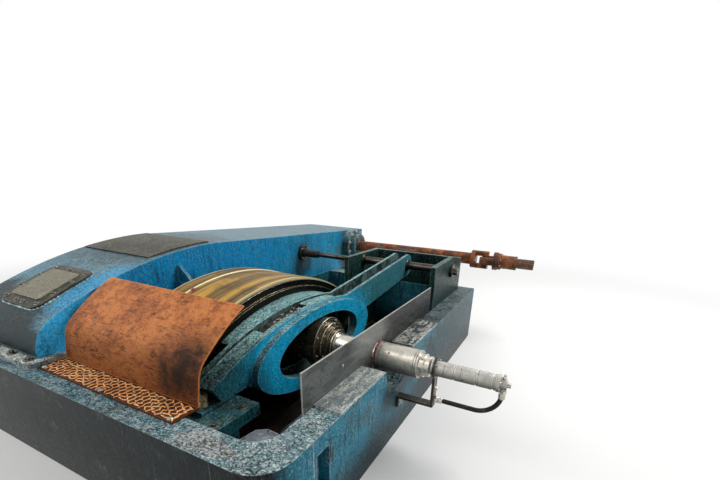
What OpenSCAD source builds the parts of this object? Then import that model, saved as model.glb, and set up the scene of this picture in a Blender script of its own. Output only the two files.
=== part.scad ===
// Coiler stand of a rolling mill: a trough base with a drum, a bridge casting over the spindle,
// a gear housing beam behind and a rotary joint on the spindle's free end.
// X runs along the spindle towards its free end, Y towards the far end of the base and Z up.
// The origin is on the floor, under the spindle's axis, in the middle plane of the side wall.

/* [Base frame] */
// Height of the rim above the floor, which is also the spindle's height
rim_h = 500; // [440:10:560]
// Width of the rim and thickness of the walls
wall_t = 140; // [120:5:150]
// Room between the drum's near end and the near wall
drum_room = 86; // [80:2:120]
// From the spindle's axis to the outside of the far wall
far_reach = 1856; // [1840:10:1960]
// Length of the base along the spindle
base_len = 2370; // [2360:10:2500]
// Radius of the outer corner between near wall and side wall
corner_r = 150; // [100:10:200]
// Radius of the hollow inside that corner
fillet_r = 120; // [60:10:150]
// Radius of the notch in the side wall under the spindle
notch_r = 180; // [150:5:200]
// Thickness of the sump's floor
pan_t = 30; // [20:5:40]
// Width of the pocket in the side wall
pocket_w = 90; // [60:10:120]
// Height of the pocket in the side wall
pocket_h = 330; // [200:10:340]
// Depth of the pocket in the side wall
pocket_d = 60; // [30:5:80]
// Thickness of the longitudinal wall under the housing's face
beam_t = 100; // [80:5:140]

/* [Plates on the rim] */
// Thickness of the wear plates
wear_t = 10; // [6:1:16]
// Length of the near wear plate
wear_near_len = 435; // [300:5:450]
// Length of the far wear plate
wear_far_len = 476; // [300:5:520]
// From the notch's edge to each wear plate
wear_gap = 20; // [10:1:40]
// Thickness of the splash plate
splash_t = 6; // [3:1:10]
// Height of the splash plate above the rim
splash_top = 200; // [150:5:230]
// Depth of the splash plate below the rim
splash_low = 60; // [40:5:100]
// Reach of the splash plate towards the near end
splash_near = 714; // [650:2:760]
// Reach of the splash plate towards the far end
splash_far = 900; // [850:5:940]

/* [Spindle] */
// Radius of the spindle's shaft
shaft_r = 70; // [60:1:74]
// Radius of the silver sleeve
sleeve_r = 80; // [70:1:90]
// Length of the silver sleeve
sleeve_len = 260; // [200:5:300]
// Radius of the clamp ring after the sleeve
clamp_r = 66; // [60:1:72]
// Length of the clamp ring
clamp_len = 60; // [40:2:80]
// Radial room between the hub's widest ring and the bridge's eye
hub_room = 10; // [7:1:30]
// Radius of the rotary joint's body
joint_r = 43; // [38:1:50]
// Length of the rotary joint's body
joint_len = 366; // [300:2:400]
// Radius of the spindle's nose inside the rotary joint
nose_r = 20; // [14:1:24]
// Radial clearance of running fits
run_fit = 0.05; // [0.02:0.01:0.09]
// Axial gap between turning and standing rings
ring_gap = 6; // [5:1:10]
// Radial clearance round the turning shaft where it passes a plate
pass_gap = 9; // [6:1:14]

/* [Drum] */
// Radius of the drum's curved top
drum_r = 1302; // [1290:1:1310]
// Width of the drum
drum_w = 490; // [440:5:520]
// Depth of the drum's centre below the rim
drum_drop = 965; // [950:5:975]
// Thickness of the drum's shell and cheeks
shell_t = 30; // [20:2:40]
// Width of the raised band at the drum's far edge
band_w = 105; // [80:5:140]
// Height of that band
band_t = 5; // [3:1:8]

/* [Bridge casting] */
// From the side wall's inside to the front face of the bridge's front plate
bridge_back = 412; // [400:2:430]
// Width of the bridge over both side plates
bridge_w = 140; // [120:5:150]
// Thickness of the bridge's side plates
flange_t = 20; // [14:1:28]
// Depth of the bridge's beam
bridge_d = 200; // [180:5:210]
// Height of the bridge's crown above the rim
crown_h = 240; // [236:1:250]
// Radius of the bridge's curved back
crown_r = 1850; // [1750:10:1950]
// Depth of the top web below the side plates' edges
web_drop = 14; // [8:1:20]
// How far the eye stands out in front of the front plate
eye_out = 40; // [30:2:50]
// Half width of the oval eye's opening
eye_w = 416; // [400:2:430]
// Half height of the oval eye's opening
eye_h = 168; // [160:1:175]
// Thickness of the eye's rim at its ends
eye_rim_w = 164; // [140:2:180]
// Thickness of the eye's rim at its top
eye_rim_h = 64; // [56:1:70]
// Depth of the arched lip behind the bridge
lip_d = 100; // [80:5:110]
// Half length of the arched lip
lip_half = 530; // [480:5:560]
// Radius of the pivot pin
pin_r = 34; // [28:1:40]
// Distance from the spindle's axis to the pivot pin
pin_y = 1426; // [1400:2:1450]
// Height of the pivot pin above the rim
pin_h = 233; // [225:1:240]
// Radius of the boss round the pivot pin
pin_boss_r = 96; // [85:1:105]
// Distance from the spindle's axis to the load cell under the near foot
cell_y = 838; // [832:1:842]
// Radius of the load cell
cell_r = 42; // [34:1:44]

/* [Pivot bracket] */
// Thickness of the bracket's plates
cheek_t = 40; // [30:2:50]
// Distance from the spindle's axis to the front of the bracket
cheek_front = 1120; // [1100:5:1180]
// Height of the bracket's side wall plate above the rim
cheek_h = 346; // [335:2:360]
// Height of the bracket's back plate above the rim
back_h = 300; // [290:2:330]
// From the side wall's inside to the bracket's left plate
bracket_w = 900; // [880:5:920]

/* [Guard sheet] */
// Thickness of the curved guard sheet
guard_t = 6; // [4:1:10]
// Gap between the housing's face and the guard
guard_gap = 52; // [40:2:90]
// Radius of the guard's long curve
guard_r = 1230; // [1215:5:1245]
// Height of the long curve's centre below the rim
guard_drop = 707; // [695:1:715]
// Polar angle of the guard's upper edge
guard_top_a = 118; // [115:0.5:122]
// Radius of the bend above the guard's foot
bend_r = 150; // [120:5:180]
// Thickness of the tread plate at the guard's foot
tread_t = 8; // [6:1:12]
// Width of the tread plate
tread_w = 132; // [120:2:150]

/* [Gear housing] */
// From the drum's far side to the housing's face
housing_gap = 262; // [240:2:280]
// Width of the housing along the spindle
housing_w = 760; // [720:5:780]
// From the spindle's axis to the far end of the housing
housing_far = 2450; // [2400:10:2600]
// Height of the housing's crown above the rim
housing_h = 475; // [440:5:500]
// Height of the near face's straight part, up to the shoulder
shoulder_rise = 40; // [30:2:60]
// Radius of the housing's near shoulder
shoulder_r = 200; // [150:5:230]
// Distance from the spindle's axis to the crown
crown_y = 200; // [150:10:260]
// Fall of the top from the crown to the far end
top_fall = 85; // [60:5:110]
// Thickness of the foot flange
foot_t = 30; // [20:2:40]
// Width of the foot flange
foot_w = 62; // [50:2:80]
// From the foot flange to the outside of the near wall
foot_margin = 48; // [40:2:80]
// Length of the inspection cover along the spindle
cover_len = 390; // [340:5:440]
// Thickness of the inspection cover
cover_t = 16; // [10:1:24]

/* [Drive shaft] */
// Distance from the spindle's axis to the drive shaft
drive_y = 2160; // [2130:10:2200]
// Height of the drive shaft above the rim
drive_h = 232; // [210:2:250]
// Radius of the drive shaft's tube
tube_r = 58; // [50:1:66]
// Length of the drive shaft's tube
tube_len = 1440; // [1400:10:1460]
// Radius of the universal joint's forks
fork_r = 88; // [84:1:96]
// Thickness of the forks' arms
fork_t = 34; // [28:1:34]
// Radius of the drive boss on the housing
boss_r = 180; // [160:2:200]
// Length of the drive boss
boss_len = 136; // [120:2:150]
// Height of the guide rod above the rim
rod_h = 264; // [250:2:280]
// Distance from the spindle's axis to the guide rod
rod_y = 1240; // [1200:5:1260]
// Radius of the guide rod
rod_r = 22; // [16:1:28]
// Length of the guide rod outside its gland
rod_len = 486; // [460:2:500]

/* [Hidden] */
$fn = 96;
arc_n = 24;
eps = 0.01;

drum_half = sqrt(pow(drum_r, 2) - pow(drum_drop, 2));
near_reach = round(drum_half + drum_room + wall_t);
housing_near = near_reach - foot_w - foot_margin;
side_out = wall_t / 2;
side_in = -wall_t / 2;
left_out = side_out - base_len;
near_in = -near_reach + wall_t;
far_in = far_reach - wall_t;

// Stack along the spindle, from its free end back to the housing
splash_x = side_in - splash_t;
sleeve_x = side_in + ring_gap;
clamp_x = sleeve_x + sleeve_len;
joint_x = clamp_x + clamp_len + ring_gap;
joint_end = joint_x + joint_len;
front_x = side_in - bridge_back;
rear_x = front_x - bridge_w;
lip_x = rear_x - lip_d;
seal_t = 20;
seal_gap = 4;
seal_x = lip_x - seal_gap;
drum_x = seal_x - 2 * seal_t;
drum_back = drum_x - drum_w;
face_x = drum_back - housing_gap;
housing_back = face_x - housing_w;

// Heights
drum_z = rim_h - drum_drop;
crown_z = rim_h + crown_h;
pin_z = rim_h + pin_h;
drive_z = rim_h + drive_h;
rod_z = rim_h + rod_h;

// Runs along the spindle and takes a profile drawn as (distance, height)
module along_x(x0, x1) {
  translate([x0, 0, 0]) rotate([90, 0, 90]) linear_extrude(x1 - x0) children();
}

// Cylinder along the spindle's direction
module rod_x(x0, x1, y, z, r) {
  translate([x0, y, z]) rotate([0, 90, 0]) cylinder(h = x1 - x0, r = r);
}

// Block between two corners
module block(a, b) {
  translate(a) cube(b - a);
}

function arc(cy, cz, r, a0, a1) =
  [for (i = [0 : arc_n]) let (a = a0 + (a1 - a0) * i / arc_n) [cy + r * cos(a), cz + r * sin(a)]];

// Angle in degrees that a length takes up on a circle
function deg_on(len, r) = len / r * 180 / PI;

function oval(w, h) = [for (a = [0 : 5 : 355]) [w * cos(a), rim_h + h * sin(a)]];

// Base frame
post_w = max(corner_r, wall_t + fillet_r);
post_y = -near_reach + post_w;
post_x = side_out - post_w;

module near_wall() {
  color("steelblue") block([left_out + wall_t, -near_reach, 0], [post_x, near_in, rim_h]);
}

module corner_post() {
  color("cadetblue") difference() {
    translate([post_x, -near_reach, 0]) linear_extrude(rim_h) difference() {
      square(post_w);
      difference() {
        translate([post_w - corner_r, -eps]) square(corner_r + eps);
        translate([post_w - corner_r, corner_r]) circle(r = corner_r);
      }
      difference() {
        translate([-eps, wall_t]) square([post_w - wall_t + eps, post_w]);
        translate([0, wall_t]) difference() {
          square([fillet_r, fillet_r]);
          translate([0, fillet_r]) circle(r = fillet_r);
        }
      }
    }
  }
}

pocket_inset = 20;
pocket_y = post_y + pocket_inset;
pocket_z = (rim_h - pocket_h) / 2;

module side_wall() {
  color("cadetblue") difference() {
    block([side_in, post_y, 0], [side_out, far_in, rim_h]);
    rod_x(side_in - 1, side_out + 1, 0, rim_h, notch_r);
    block([side_out - pocket_d, pocket_y, pocket_z],
          [side_out + 1, pocket_y + pocket_w, pocket_z + pocket_h]);
  }
}

module far_wall() {
  color("cadetblue") block([face_x, far_in, 0], [side_out, far_reach, rim_h]);
}

module end_wall() {
  color("steelblue") block([left_out, -near_reach, 0], [left_out + wall_t, far_reach - eps, rim_h]);
}

module housing_wall() {
  color("steelblue") union() {
    block([face_x - beam_t, near_in, 0], [face_x, far_reach, rim_h]);
    block([left_out, far_reach - eps, 0], [face_x, housing_far, rim_h]);
  }
}

module sump_pan() {
  color("dimgray") difference() {
    block([face_x, near_in, 0], [side_in, far_in, pan_t]);
    translate([post_x, near_in, -1]) linear_extrude(pan_t + 2) fillet_outline(0);
  }
}

// Plates on the rim
wear_near_y = -notch_r - wear_gap;
wear_far_y = notch_r + wear_gap;

module near_wear_plate() {
  color("silver") block([side_in, wear_near_y - wear_near_len, rim_h],
                        [side_out, wear_near_y, rim_h + wear_t]);
}

module far_wear_plate() {
  color("silver") block([side_in, wear_far_y, rim_h],
                        [side_out, wear_far_y + wear_far_len, rim_h + wear_t]);
}

module splash_plate() {
  color("gray") difference() {
    block([splash_x, -splash_near, rim_h - splash_low], [side_in, splash_far, rim_h + splash_top]);
    rod_x(splash_x - 1, side_in + 1, 0, rim_h, shaft_r + pass_gap);
  }
}

// Guard sheet: a straight foot, a bend and a long curve that follows the drum
guard_x1 = front_x;
guard_x0 = face_x + guard_gap;
guard_z = rim_h - guard_drop;
bend_deg = 132;
foot_deg = 169;
bend_y = (guard_r - bend_r) * cos(bend_deg);
bend_z = guard_z + (guard_r - bend_r) * sin(bend_deg);
foot_drop = (bend_z + bend_r * sin(foot_deg) - rim_h - tread_t) / cos(foot_deg - 180);
guard_foot_y = bend_y + bend_r * cos(foot_deg) + foot_drop * sin(foot_deg - 180);
tread_lip = 2;
tread_in = guard_foot_y + guard_t + tread_lip;

function guard_line(d) = concat(
  arc(0, guard_z, guard_r - d, guard_top_a, bend_deg),
  arc(bend_y, bend_z, bend_r - d, bend_deg, foot_deg),
  [[guard_foot_y - d * cos(foot_deg), rim_h + tread_t]]);

module guard_sheet() {
  outer = guard_line(0);
  inner = guard_line(guard_t);
  n = len(inner);
  color("peru") along_x(guard_x0, guard_x1)
    polygon(concat(outer, [for (i = [0 : n - 1]) inner[n - 1 - i]]));
}

module tread_plate() {
  color("sandybrown") block([guard_x0, tread_in - tread_w, rim_h],
                            [guard_x1, tread_in, rim_h + tread_t]);
}

// Gear housing: the long top curve is tangent to the shoulder and level at the crown
shoulder_y = -housing_near + shoulder_r;
shoulder_z = rim_h + shoulder_rise;
shoulder_dy = crown_y - shoulder_y;
shoulder_dz = housing_h - shoulder_rise;
back_sum = pow(shoulder_dy, 2) + pow(shoulder_dz, 2) - pow(shoulder_r, 2);
back_r = back_sum / (2 * (shoulder_dz - shoulder_r));
crown_cz = rim_h + housing_h - back_r;
shoulder_a = atan2(shoulder_z - crown_cz, shoulder_y - crown_y);

function housing_back_line() = concat(
  arc(shoulder_y, shoulder_z, shoulder_r, 180, shoulder_a),
  arc(crown_y, crown_cz, back_r, shoulder_a, 90));

module gear_housing() {
  color("steelblue") along_x(housing_back, face_x)
    polygon(concat([[-housing_near, rim_h]], housing_back_line(),
                   [[housing_far, rim_h + housing_h - top_fall], [housing_far, rim_h]]));
}

// The foot flange turns a round corner and runs on along the housing's face
foot_turn = 120;
foot_gap = 6;
foot_face_w = guard_gap - foot_gap;
foot_corner_r = 40;

module foot_flange() {
  strip_len = housing_w + foot_face_w;
  color("lightsteelblue") translate([housing_back, -housing_near - foot_w, rim_h]) linear_extrude(foot_t)
    difference() {
      union() {
        square([strip_len, foot_w]);
        translate([housing_w, 0]) square([foot_face_w, foot_w + foot_turn]);
      }
      translate([strip_len - foot_corner_r, 0]) difference() {
        translate([0, -1]) square(foot_corner_r + 1);
        translate([0, foot_corner_r]) circle(r = foot_corner_r);
      }
    }
}

// Inspection cover, seated on the long curve above the shoulder
cover_w = 366;
cover_inset = 6;
seat_gap = 0.2;
cover_a0 = shoulder_a - deg_on(cover_inset, back_r);
cover_a1 = cover_a0 - deg_on(cover_w, back_r);
cover_edge = 160;
cover_corner = 64;
cover_x1 = face_x - cover_edge;
cover_x0 = cover_x1 - cover_len;
lid_edge = 54;
lid_inset = 58;
lid_corner = 22;
lid_a = deg_on(lid_inset, back_r);
lid_t = 8;

module cover_band(x0, x1, a0, a1, r0, r1) {
  along_x(x0, x1)
    polygon(concat(arc(crown_y, crown_cz, r1, a0, a1), arc(crown_y, crown_cz, r0, a1, a0)));
}

// Curved sheet with round corners, from angle a0 down to a1
module round_band(x0, x1, a0, a1, r0, r1, corner) {
  mid = (a0 + a1) / 2;
  half = r0 * sin((a0 - a1) / 2);
  spare = deg_on(corner, r0);
  intersection() {
    cover_band(x0, x1, a0 + spare, a1 - spare, r0, r1);
    translate([0, crown_y, crown_cz]) rotate([mid - 90, 0, 0])
      translate([0, 0, r0 - corner]) linear_extrude(2 * corner) union() {
        translate([x0 + corner, -half]) square([x1 - x0 - 2 * corner, 2 * half]);
        translate([x0, corner - half]) square([x1 - x0, 2 * (half - corner)]);
        for (x = [x0 + corner, x1 - corner], y = [corner - half, half - corner])
          translate([x, y]) circle(r = corner);
      }
  }
}

module inspection_cover() {
  color("slategray") round_band(cover_x0, cover_x1, cover_a0, cover_a1,
                                back_r + seat_gap, back_r + cover_t, cover_corner);
}

module cover_lid() {
  lid_z = back_r + cover_t;
  color("lightgray") round_band(cover_x0 + lid_edge, cover_x1 - lid_edge, cover_a0 - lid_a,
                                cover_a1 + lid_a, lid_z + seat_gap, lid_z + lid_t, lid_corner);
}

// Dark plate on the housing's top, from the crown towards the near end
plate_len = 470;
plate_edge = 50;
plate_inset = 10;
plate_a0 = 90 + deg_on(plate_inset, back_r);
plate_a1 = plate_a0 + deg_on(plate_len, back_r);

module top_plate() {
  color("dimgray") cover_band(housing_back + plate_edge / 2, face_x - plate_edge,
                              plate_a1, plate_a0, back_r + seat_gap, back_r + lid_t);
}

gusset_y = -110;
gusset_rise = 250;
gusset_z = rim_h + gusset_rise;
gusset_w = 140;
gusset_h = 115;
gusset_t = 20;

module face_gusset() {
  color("steelblue") translate([face_x, gusset_y, gusset_z]) rotate([90, 0, 0])
    linear_extrude(gusset_t) polygon([[0, 0], [gusset_w, 0], [gusset_t, gusset_h], [0, gusset_h]]);
}

gland_len = 50;
gland_flange_t = 24;
gland_wall = 24;
gland_rim = 24;
gland_r = rod_r + gland_wall;
gland_flange_r = gland_r + gland_rim;

module rod_gland() {
  color("darkslategray") difference() {
    union() {
      rod_x(face_x, face_x + gland_flange_t, rod_y, rod_z, gland_flange_r);
      rod_x(face_x, face_x + gland_len, rod_y, rod_z, gland_r);
    }
    rod_x(face_x - 1, face_x + gland_len + 1, rod_y, rod_z, rod_r);
  }
}

module guide_rod() {
  color("dimgray") rod_x(face_x, face_x + gland_len + rod_len, rod_y, rod_z, rod_r);
}

// Drive shaft with a universal joint
hole_r = tube_r + run_fit;
boss_step_r = 50;
boss_share = 0.6;
tube_gap = 20;
tube_x = face_x + tube_gap;
tube_end = tube_x + tube_len;
base_t = 40;
fork_reach = 92;
cross_x = tube_end + base_t + fork_reach;
fork_end = cross_x + fork_reach + base_t;
trunnion_r = 20;
arm_relief = 12;
fork_in = fork_r - fork_t - arm_relief;
eye_wall = 16;
arm_w = trunnion_r + eye_wall;
ball_gap = 8;
cap_inset = 10;
flange_len = 34;
flange_step = 8;
flange_r = fork_r - flange_step;
flange_root = 4;
collar_len = 150;
collar_r = 66;
stub_len = 160;
stub_r = 45;

module drive_boss() {
  color("steelblue") difference() {
    union() {
      rod_x(face_x, face_x + boss_share * boss_len, drive_y, drive_z, boss_r);
      rod_x(face_x, face_x + boss_len, drive_y, drive_z, boss_r - boss_step_r);
    }
    rod_x(face_x - 1, face_x + boss_len + 1, drive_y, drive_z, hole_r);
  }
}

module drive_shaft() {
  color("sienna") rod_x(tube_x, tube_end, drive_y, drive_z, tube_r);
}

// One half of the joint: a round base and two arms with a bore each for the cross
module fork(dir, turn) {
  translate([cross_x, drive_y, drive_z]) rotate([turn, 0, 0]) scale([dir, 1, 1]) difference() {
    union() {
      rod_x(-fork_reach - base_t, -fork_reach, 0, 0, fork_r);
      intersection() {
        rod_x(-fork_reach - eps, arm_w, 0, 0, fork_r);
        for (s = [-1, 1])
          scale([1, 1, s]) block([-fork_reach - eps, -arm_w, fork_in], [arm_w, arm_w, fork_r]);
      }
    }
    translate([0, 0, -fork_r - 1]) cylinder(h = 2 * fork_r + 2, r = trunnion_r + run_fit);
  }
}

module inner_fork() {
  color("sienna") fork(1, 0);
}

module joint_cross() {
  color("dimgray") translate([cross_x, drive_y, drive_z]) union() {
    sphere(r = fork_in - ball_gap);
    for (t = [0, 90])
      rotate([t, 0, 0]) cylinder(h = 2 * (fork_r - cap_inset), r = trunnion_r, center = true);
  }
}

module outer_fork() {
  color("chocolate") union() {
    fork(-1, 90);
    rod_x(cross_x + fork_reach + flange_root, fork_end + flange_len, drive_y, drive_z, flange_r);
    rod_x(fork_end, fork_end + flange_len + collar_len, drive_y, drive_z, collar_r);
    rod_x(fork_end, fork_end + flange_len + collar_len + stub_len, drive_y, drive_z, stub_r);
  }
}

// Drum: a curved shell with straight skirts, closed by two cheeks
in_r = drum_r - shell_t;
band_rise = 12;

module drum_outline(inset) {
  intersection() {
    translate([0, drum_z]) circle(r = drum_r - inset, $fn = 360);
    translate([-drum_half + inset, pan_t])
      square([2 * (drum_half - inset), rim_h + drum_r]);
  }
}

module drum_shell() {
  color("darkgoldenrod") union() {
    along_x(drum_back, drum_x) difference() {
      drum_outline(0);
      drum_outline(shell_t);
    }
    along_x(drum_back, drum_back + band_w) intersection() {
      difference() {
        translate([0, drum_z]) circle(r = drum_r + band_t, $fn = 360);
        translate([0, drum_z]) circle(r = drum_r - shell_t / 2, $fn = 360);
      }
      translate([-drum_r, rim_h + band_rise]) square([2 * drum_r, drum_r]);
    }
  }
}

module drum_near_cheek() {
  color("black") along_x(drum_x - shell_t, drum_x) drum_outline(shell_t);
}

module drum_far_cheek() {
  color("black") along_x(drum_back, drum_back + shell_t) drum_outline(shell_t);
}

// Two stepped rings in front of the near cheek
seal_depth = 60;
seal_inset = 12;
seal_in_r = in_r - seal_depth;
seal_out_r = drum_r - seal_inset;
seal_step = 40;

module seal_band(x0, x1, r0, r1) {
  along_x(x0, x1) intersection() {
    difference() {
      translate([0, drum_z]) circle(r = r1, $fn = 360);
      translate([0, drum_z]) circle(r = r0, $fn = 360);
    }
    translate([-drum_half + shell_t, rim_h]) square([2 * (drum_half - shell_t), drum_r]);
  }
}

module drum_seal_ring() {
  color("black") union() {
    seal_band(drum_x, drum_x + seal_t, seal_in_r, seal_out_r);
    seal_band(drum_x + seal_t - eps, drum_x + 2 * seal_t, seal_in_r, seal_out_r - seal_step);
  }
}

// Spindle
bearing_len = 120;
bearing_x = drum_x;
nose_len = 120;
clamp_step = 8;
bearing_w = 130;
shaft_inset = 4;
hub_x = bearing_x + bearing_len + ring_gap;
core_step = 24;
core_r = shaft_r - core_step;
hub_r = eye_h - hub_room;
// Length of each step of the hub and how far it lies below the widest ring
hub_steps = [[170, 24], [66, 0], [26, 28], [22, 46], [20, 66]];
hub_len = 304;
hub_root = 1;
hub_slots = 4;
slot_turn = 75;
hub_slot_w = 30;
hub_slot_d = 12;

module spindle_bearing() {
  color("darkslategray") difference() {
    union() {
      rod_x(bearing_x, bearing_x + bearing_len, 0, rim_h, bearing_w);
      block([bearing_x, -bearing_w, pan_t], [bearing_x + bearing_len, bearing_w, rim_h]);
    }
    rod_x(bearing_x - 1, bearing_x + bearing_len + 1, 0, rim_h, shaft_r + run_fit);
  }
}

function hub_at(i) = i == 0 ? hub_x : hub_at(i - 1) + hub_steps[i - 1][0];

module spindle_hub() {
  slot_x = hub_at(1) - hub_root;
  color("dimgray") difference() {
    union() {
      for (i = [0 : len(hub_steps) - 1])
        rod_x(hub_at(i) - (i > 0 ? hub_root : 0), hub_at(i + 1), 0, rim_h, hub_r - hub_steps[i][1]);
    }
    rod_x(hub_x - 1, hub_x + hub_len + 1, 0, rim_h, shaft_r);
    for (i = [0 : hub_slots - 1])
      translate([slot_x, 0, rim_h]) rotate([slot_turn + i * 360 / hub_slots, 0, 0])
        block([0, hub_r - hub_slot_d, -hub_slot_w / 2],
              [hub_steps[1][0] + 2 * hub_root, hub_r + 1, hub_slot_w / 2]);
  }
}

module spindle_shaft() {
  color("silver") union() {
    rod_x(bearing_x + shaft_inset, sleeve_x, 0, rim_h, shaft_r);
    rod_x(bearing_x + shaft_inset, clamp_x + clamp_len, 0, rim_h, core_r);
    rod_x(bearing_x + shaft_inset, joint_x + nose_len, 0, rim_h, nose_r);
  }
}

module spindle_sleeve() {
  color("silver") difference() {
    rod_x(sleeve_x, clamp_x, 0, rim_h, sleeve_r);
    rod_x(sleeve_x - 1, clamp_x + 1, 0, rim_h, core_r);
  }
}

module clamp_ring() {
  color("gray") difference() {
    union() {
      rod_x(clamp_x, clamp_x + clamp_len / 2, 0, rim_h, clamp_r);
      rod_x(clamp_x, clamp_x + clamp_len, 0, rim_h, clamp_r - clamp_step);
    }
    rod_x(clamp_x - 1, clamp_x + clamp_len + 1, 0, rim_h, core_r);
  }
}

// Rotary joint: a grooved body that stands still on the turning nose
cap_len = 34;
cap_step = 14;
cap_r = joint_r - cap_step;
plug_len = 18;
plug_r = 14;
port_r = 16;
port_out = 20;
port_x = joint_end + cap_len / 2;
port_low = rim_h - joint_r - port_out;
nose_room = 20;
groove_w = 8;
groove_d = 4;
groove_at = [0.34, 0.66, 0.9];

module rotary_joint() {
  color("silver") difference() {
    rod_x(joint_x, joint_end, 0, rim_h, joint_r);
    rod_x(joint_x - 1, joint_x + nose_len + nose_room, 0, rim_h, nose_r + run_fit);
    for (s = groove_at) translate([joint_x + s * joint_len, 0, 0]) difference() {
      rod_x(0, groove_w, 0, rim_h, joint_r + 1);
      rod_x(-1, groove_w + 1, 0, rim_h, joint_r - groove_d);
    }
  }
}

module joint_cap() {
  color("dimgray") union() {
    rod_x(joint_end, joint_end + cap_len, 0, rim_h, cap_r);
    rod_x(joint_end, joint_end + cap_len + plug_len, 0, rim_h, plug_r);
    translate([port_x, 0, port_low]) cylinder(h = rim_h - port_low, r = port_r);
  }
}

// Strap that keeps the rotary joint from turning, from a collar down to the side wall
strap_inset = 14;
strap_x = joint_x + strap_inset;
strap_t = 16;
strap_w = 50;
strap_drop = 60;
strap_z = rim_h - notch_r - strap_drop;
collar_t = 14;
strap_foot = 60;

module torque_strap() {
  color("dimgray") difference() {
    union() {
      rod_x(strap_x, strap_x + strap_t, 0, rim_h, joint_r + collar_t);
      block([strap_x, -strap_w / 2, strap_z], [strap_x + strap_t, strap_w / 2, rim_h]);
      block([side_out, -strap_w / 2, strap_z], [strap_x + strap_t, strap_w / 2, strap_z + strap_t]);
      block([side_out, -strap_w / 2, strap_z - strap_foot],
            [side_out + strap_t, strap_w / 2, strap_z + strap_t]);
    }
    rod_x(strap_x - 1, strap_x + strap_t + 1, 0, rim_h, joint_r);
  }
}

// Return hose, from the cap's port down and back to the strap
hose_r = 13;
hose_bend = 130;
hose_z = port_low - hose_bend;

module return_hose() {
  color("black") union() {
    translate([port_x - hose_bend, 0, port_low]) rotate([-90, 0, 0])
      rotate_extrude(angle = 90) translate([hose_bend, 0]) circle(r = hose_r);
    rod_x(strap_x + strap_t, port_x - hose_bend + eps, 0, hose_z, hose_r);
  }
}

// Bridge casting: two side plates with one outline, a sunk top web, an oval eye and a rear lip
foot_sink = 30;
foot_top = rim_h - foot_sink;
arm_inset = 2;
back_cz = crown_z - crown_r;
foot_y = -cell_y + cell_r - web_drop;
foot_end_a = acos(foot_y / crown_r);
arm_deg = 79.5;
arm_top = pin_z + pin_boss_r - arm_inset;

// Top edge of the bridge, from its near foot to the arm's root, lowered by a drop
function bridge_top(drop) = arc(0, back_cz, crown_r - drop, foot_end_a, arm_deg);

module bridge_band() {
  top = bridge_top(0);
  low = bridge_top(bridge_d);
  n = len(low);
  intersection() {
    polygon(concat(top, [[pin_y, arm_top], [pin_y, pin_z - pin_boss_r + arm_inset]],
                   [for (i = [0 : n - 1]) low[n - 1 - i]]));
    translate([-crown_r, foot_top]) square([2 * crown_r, crown_r]);
  }
}

module bridge_plate(x0, x1, eye_x) {
  difference() {
    union() {
      along_x(x0, x1) bridge_band();
      rod_x(x0, x1, pin_y, pin_z, pin_boss_r);
      along_x(x0, eye_x) polygon(oval(eye_w + eye_rim_w, eye_h + eye_rim_h));
    }
    along_x(x0 - 1, eye_x + 1) polygon(oval(eye_w, eye_h));
    rod_x(x0 - 1, x1 + 1, pin_y, pin_z, pin_r);
  }
}

module bridge_rear_plate() {
  color("cadetblue") bridge_plate(rear_x, rear_x + flange_t, rear_x + flange_t);
}

module bridge_front_plate() {
  color("deepskyblue") bridge_plate(front_x - flange_t, front_x, front_x + eye_out);
}

slot_a0 = 103;
slot_a1 = 91;
slot_w = 64;
web_t = 20;
slot_d = 80;

channel_a = 81.5;
channel_depth = 90;

// Band under the bridge's top edge, between two angles and two drops
module web_band(a0, a1, d0, d1) {
  polygon(concat(arc(0, back_cz, crown_r - d0, a0, a1), arc(0, back_cz, crown_r - d1, a1, a0)));
}

module bridge_web() {
  web_end = pin_y - pin_boss_r;
  arm_y = crown_r * cos(arm_deg);
  arm_z = back_cz + crown_r * sin(arm_deg);
  color("cadetblue") difference() {
    along_x(rear_x + flange_t, front_x - flange_t) {
      web_band(foot_end_a, channel_a, web_drop, web_drop + web_t);
      web_band(channel_a, channel_a - deg_on(web_t, crown_r), web_drop, channel_depth + web_t);
      web_band(channel_a, arm_deg, channel_depth, channel_depth + web_t);
      polygon([[arm_y - web_t, arm_z - channel_depth], [web_end, arm_top - channel_depth],
               [web_end, arm_top - channel_depth - web_t], [arm_y - web_t, arm_z - channel_depth - web_t]]);
    }
    along_x(rear_x + flange_t - 1, rear_x + flange_t + slot_w)
      web_band(slot_a0, slot_a1, 0, slot_d);
  }
}

lip_r = seal_in_r;
lip_t = 24;
lip_a = acos(lip_half / lip_r);

module bridge_lip() {
  color("cadetblue") along_x(lip_x, rear_x)
    polygon(concat(arc(0, drum_z, lip_r, 180 - lip_a, lip_a),
                   arc(0, drum_z, lip_r - lip_t, lip_a, 180 - lip_a)));
}

// Near foot: a pedestal on the sump's floor with a ledge that runs to the near wall
foot_len = 180;
ledge_w = 125;
ledge_t = 60;
ledge_drop = 50;
ledge_reach = 290;
cell_h = 44;

module near_foot() {
  ledge_z = rim_h - ledge_drop;
  color("cadetblue") union() {
    block([rear_x, -cell_y - cell_r, pan_t], [front_x, -cell_y - cell_r + foot_len, foot_top]);
    block([rear_x + flange_t, near_in, ledge_z - ledge_t],
          [front_x + ledge_w, near_in + ledge_reach, ledge_z]);
  }
}

module load_cell() {
  color("tan") translate([(rear_x + front_x) / 2, -cell_y, foot_top]) cylinder(h = cell_h, r = cell_r);
}

// Thin sheets under the rim: a plate across the corner and a curved deflector on the side wall
sheet_t = 4;
plate_drop = 60;
deflector_r = 180;
deflector_drop = 70;
deflector_near = 690;
deflector_len = 250;

// Outline of the hollow corner's filled part, grown by a gap
module fillet_outline(gap) {
  difference() {
    square(fillet_r + gap);
    translate([0, fillet_r]) circle(r = fillet_r - gap);
  }
}

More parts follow.
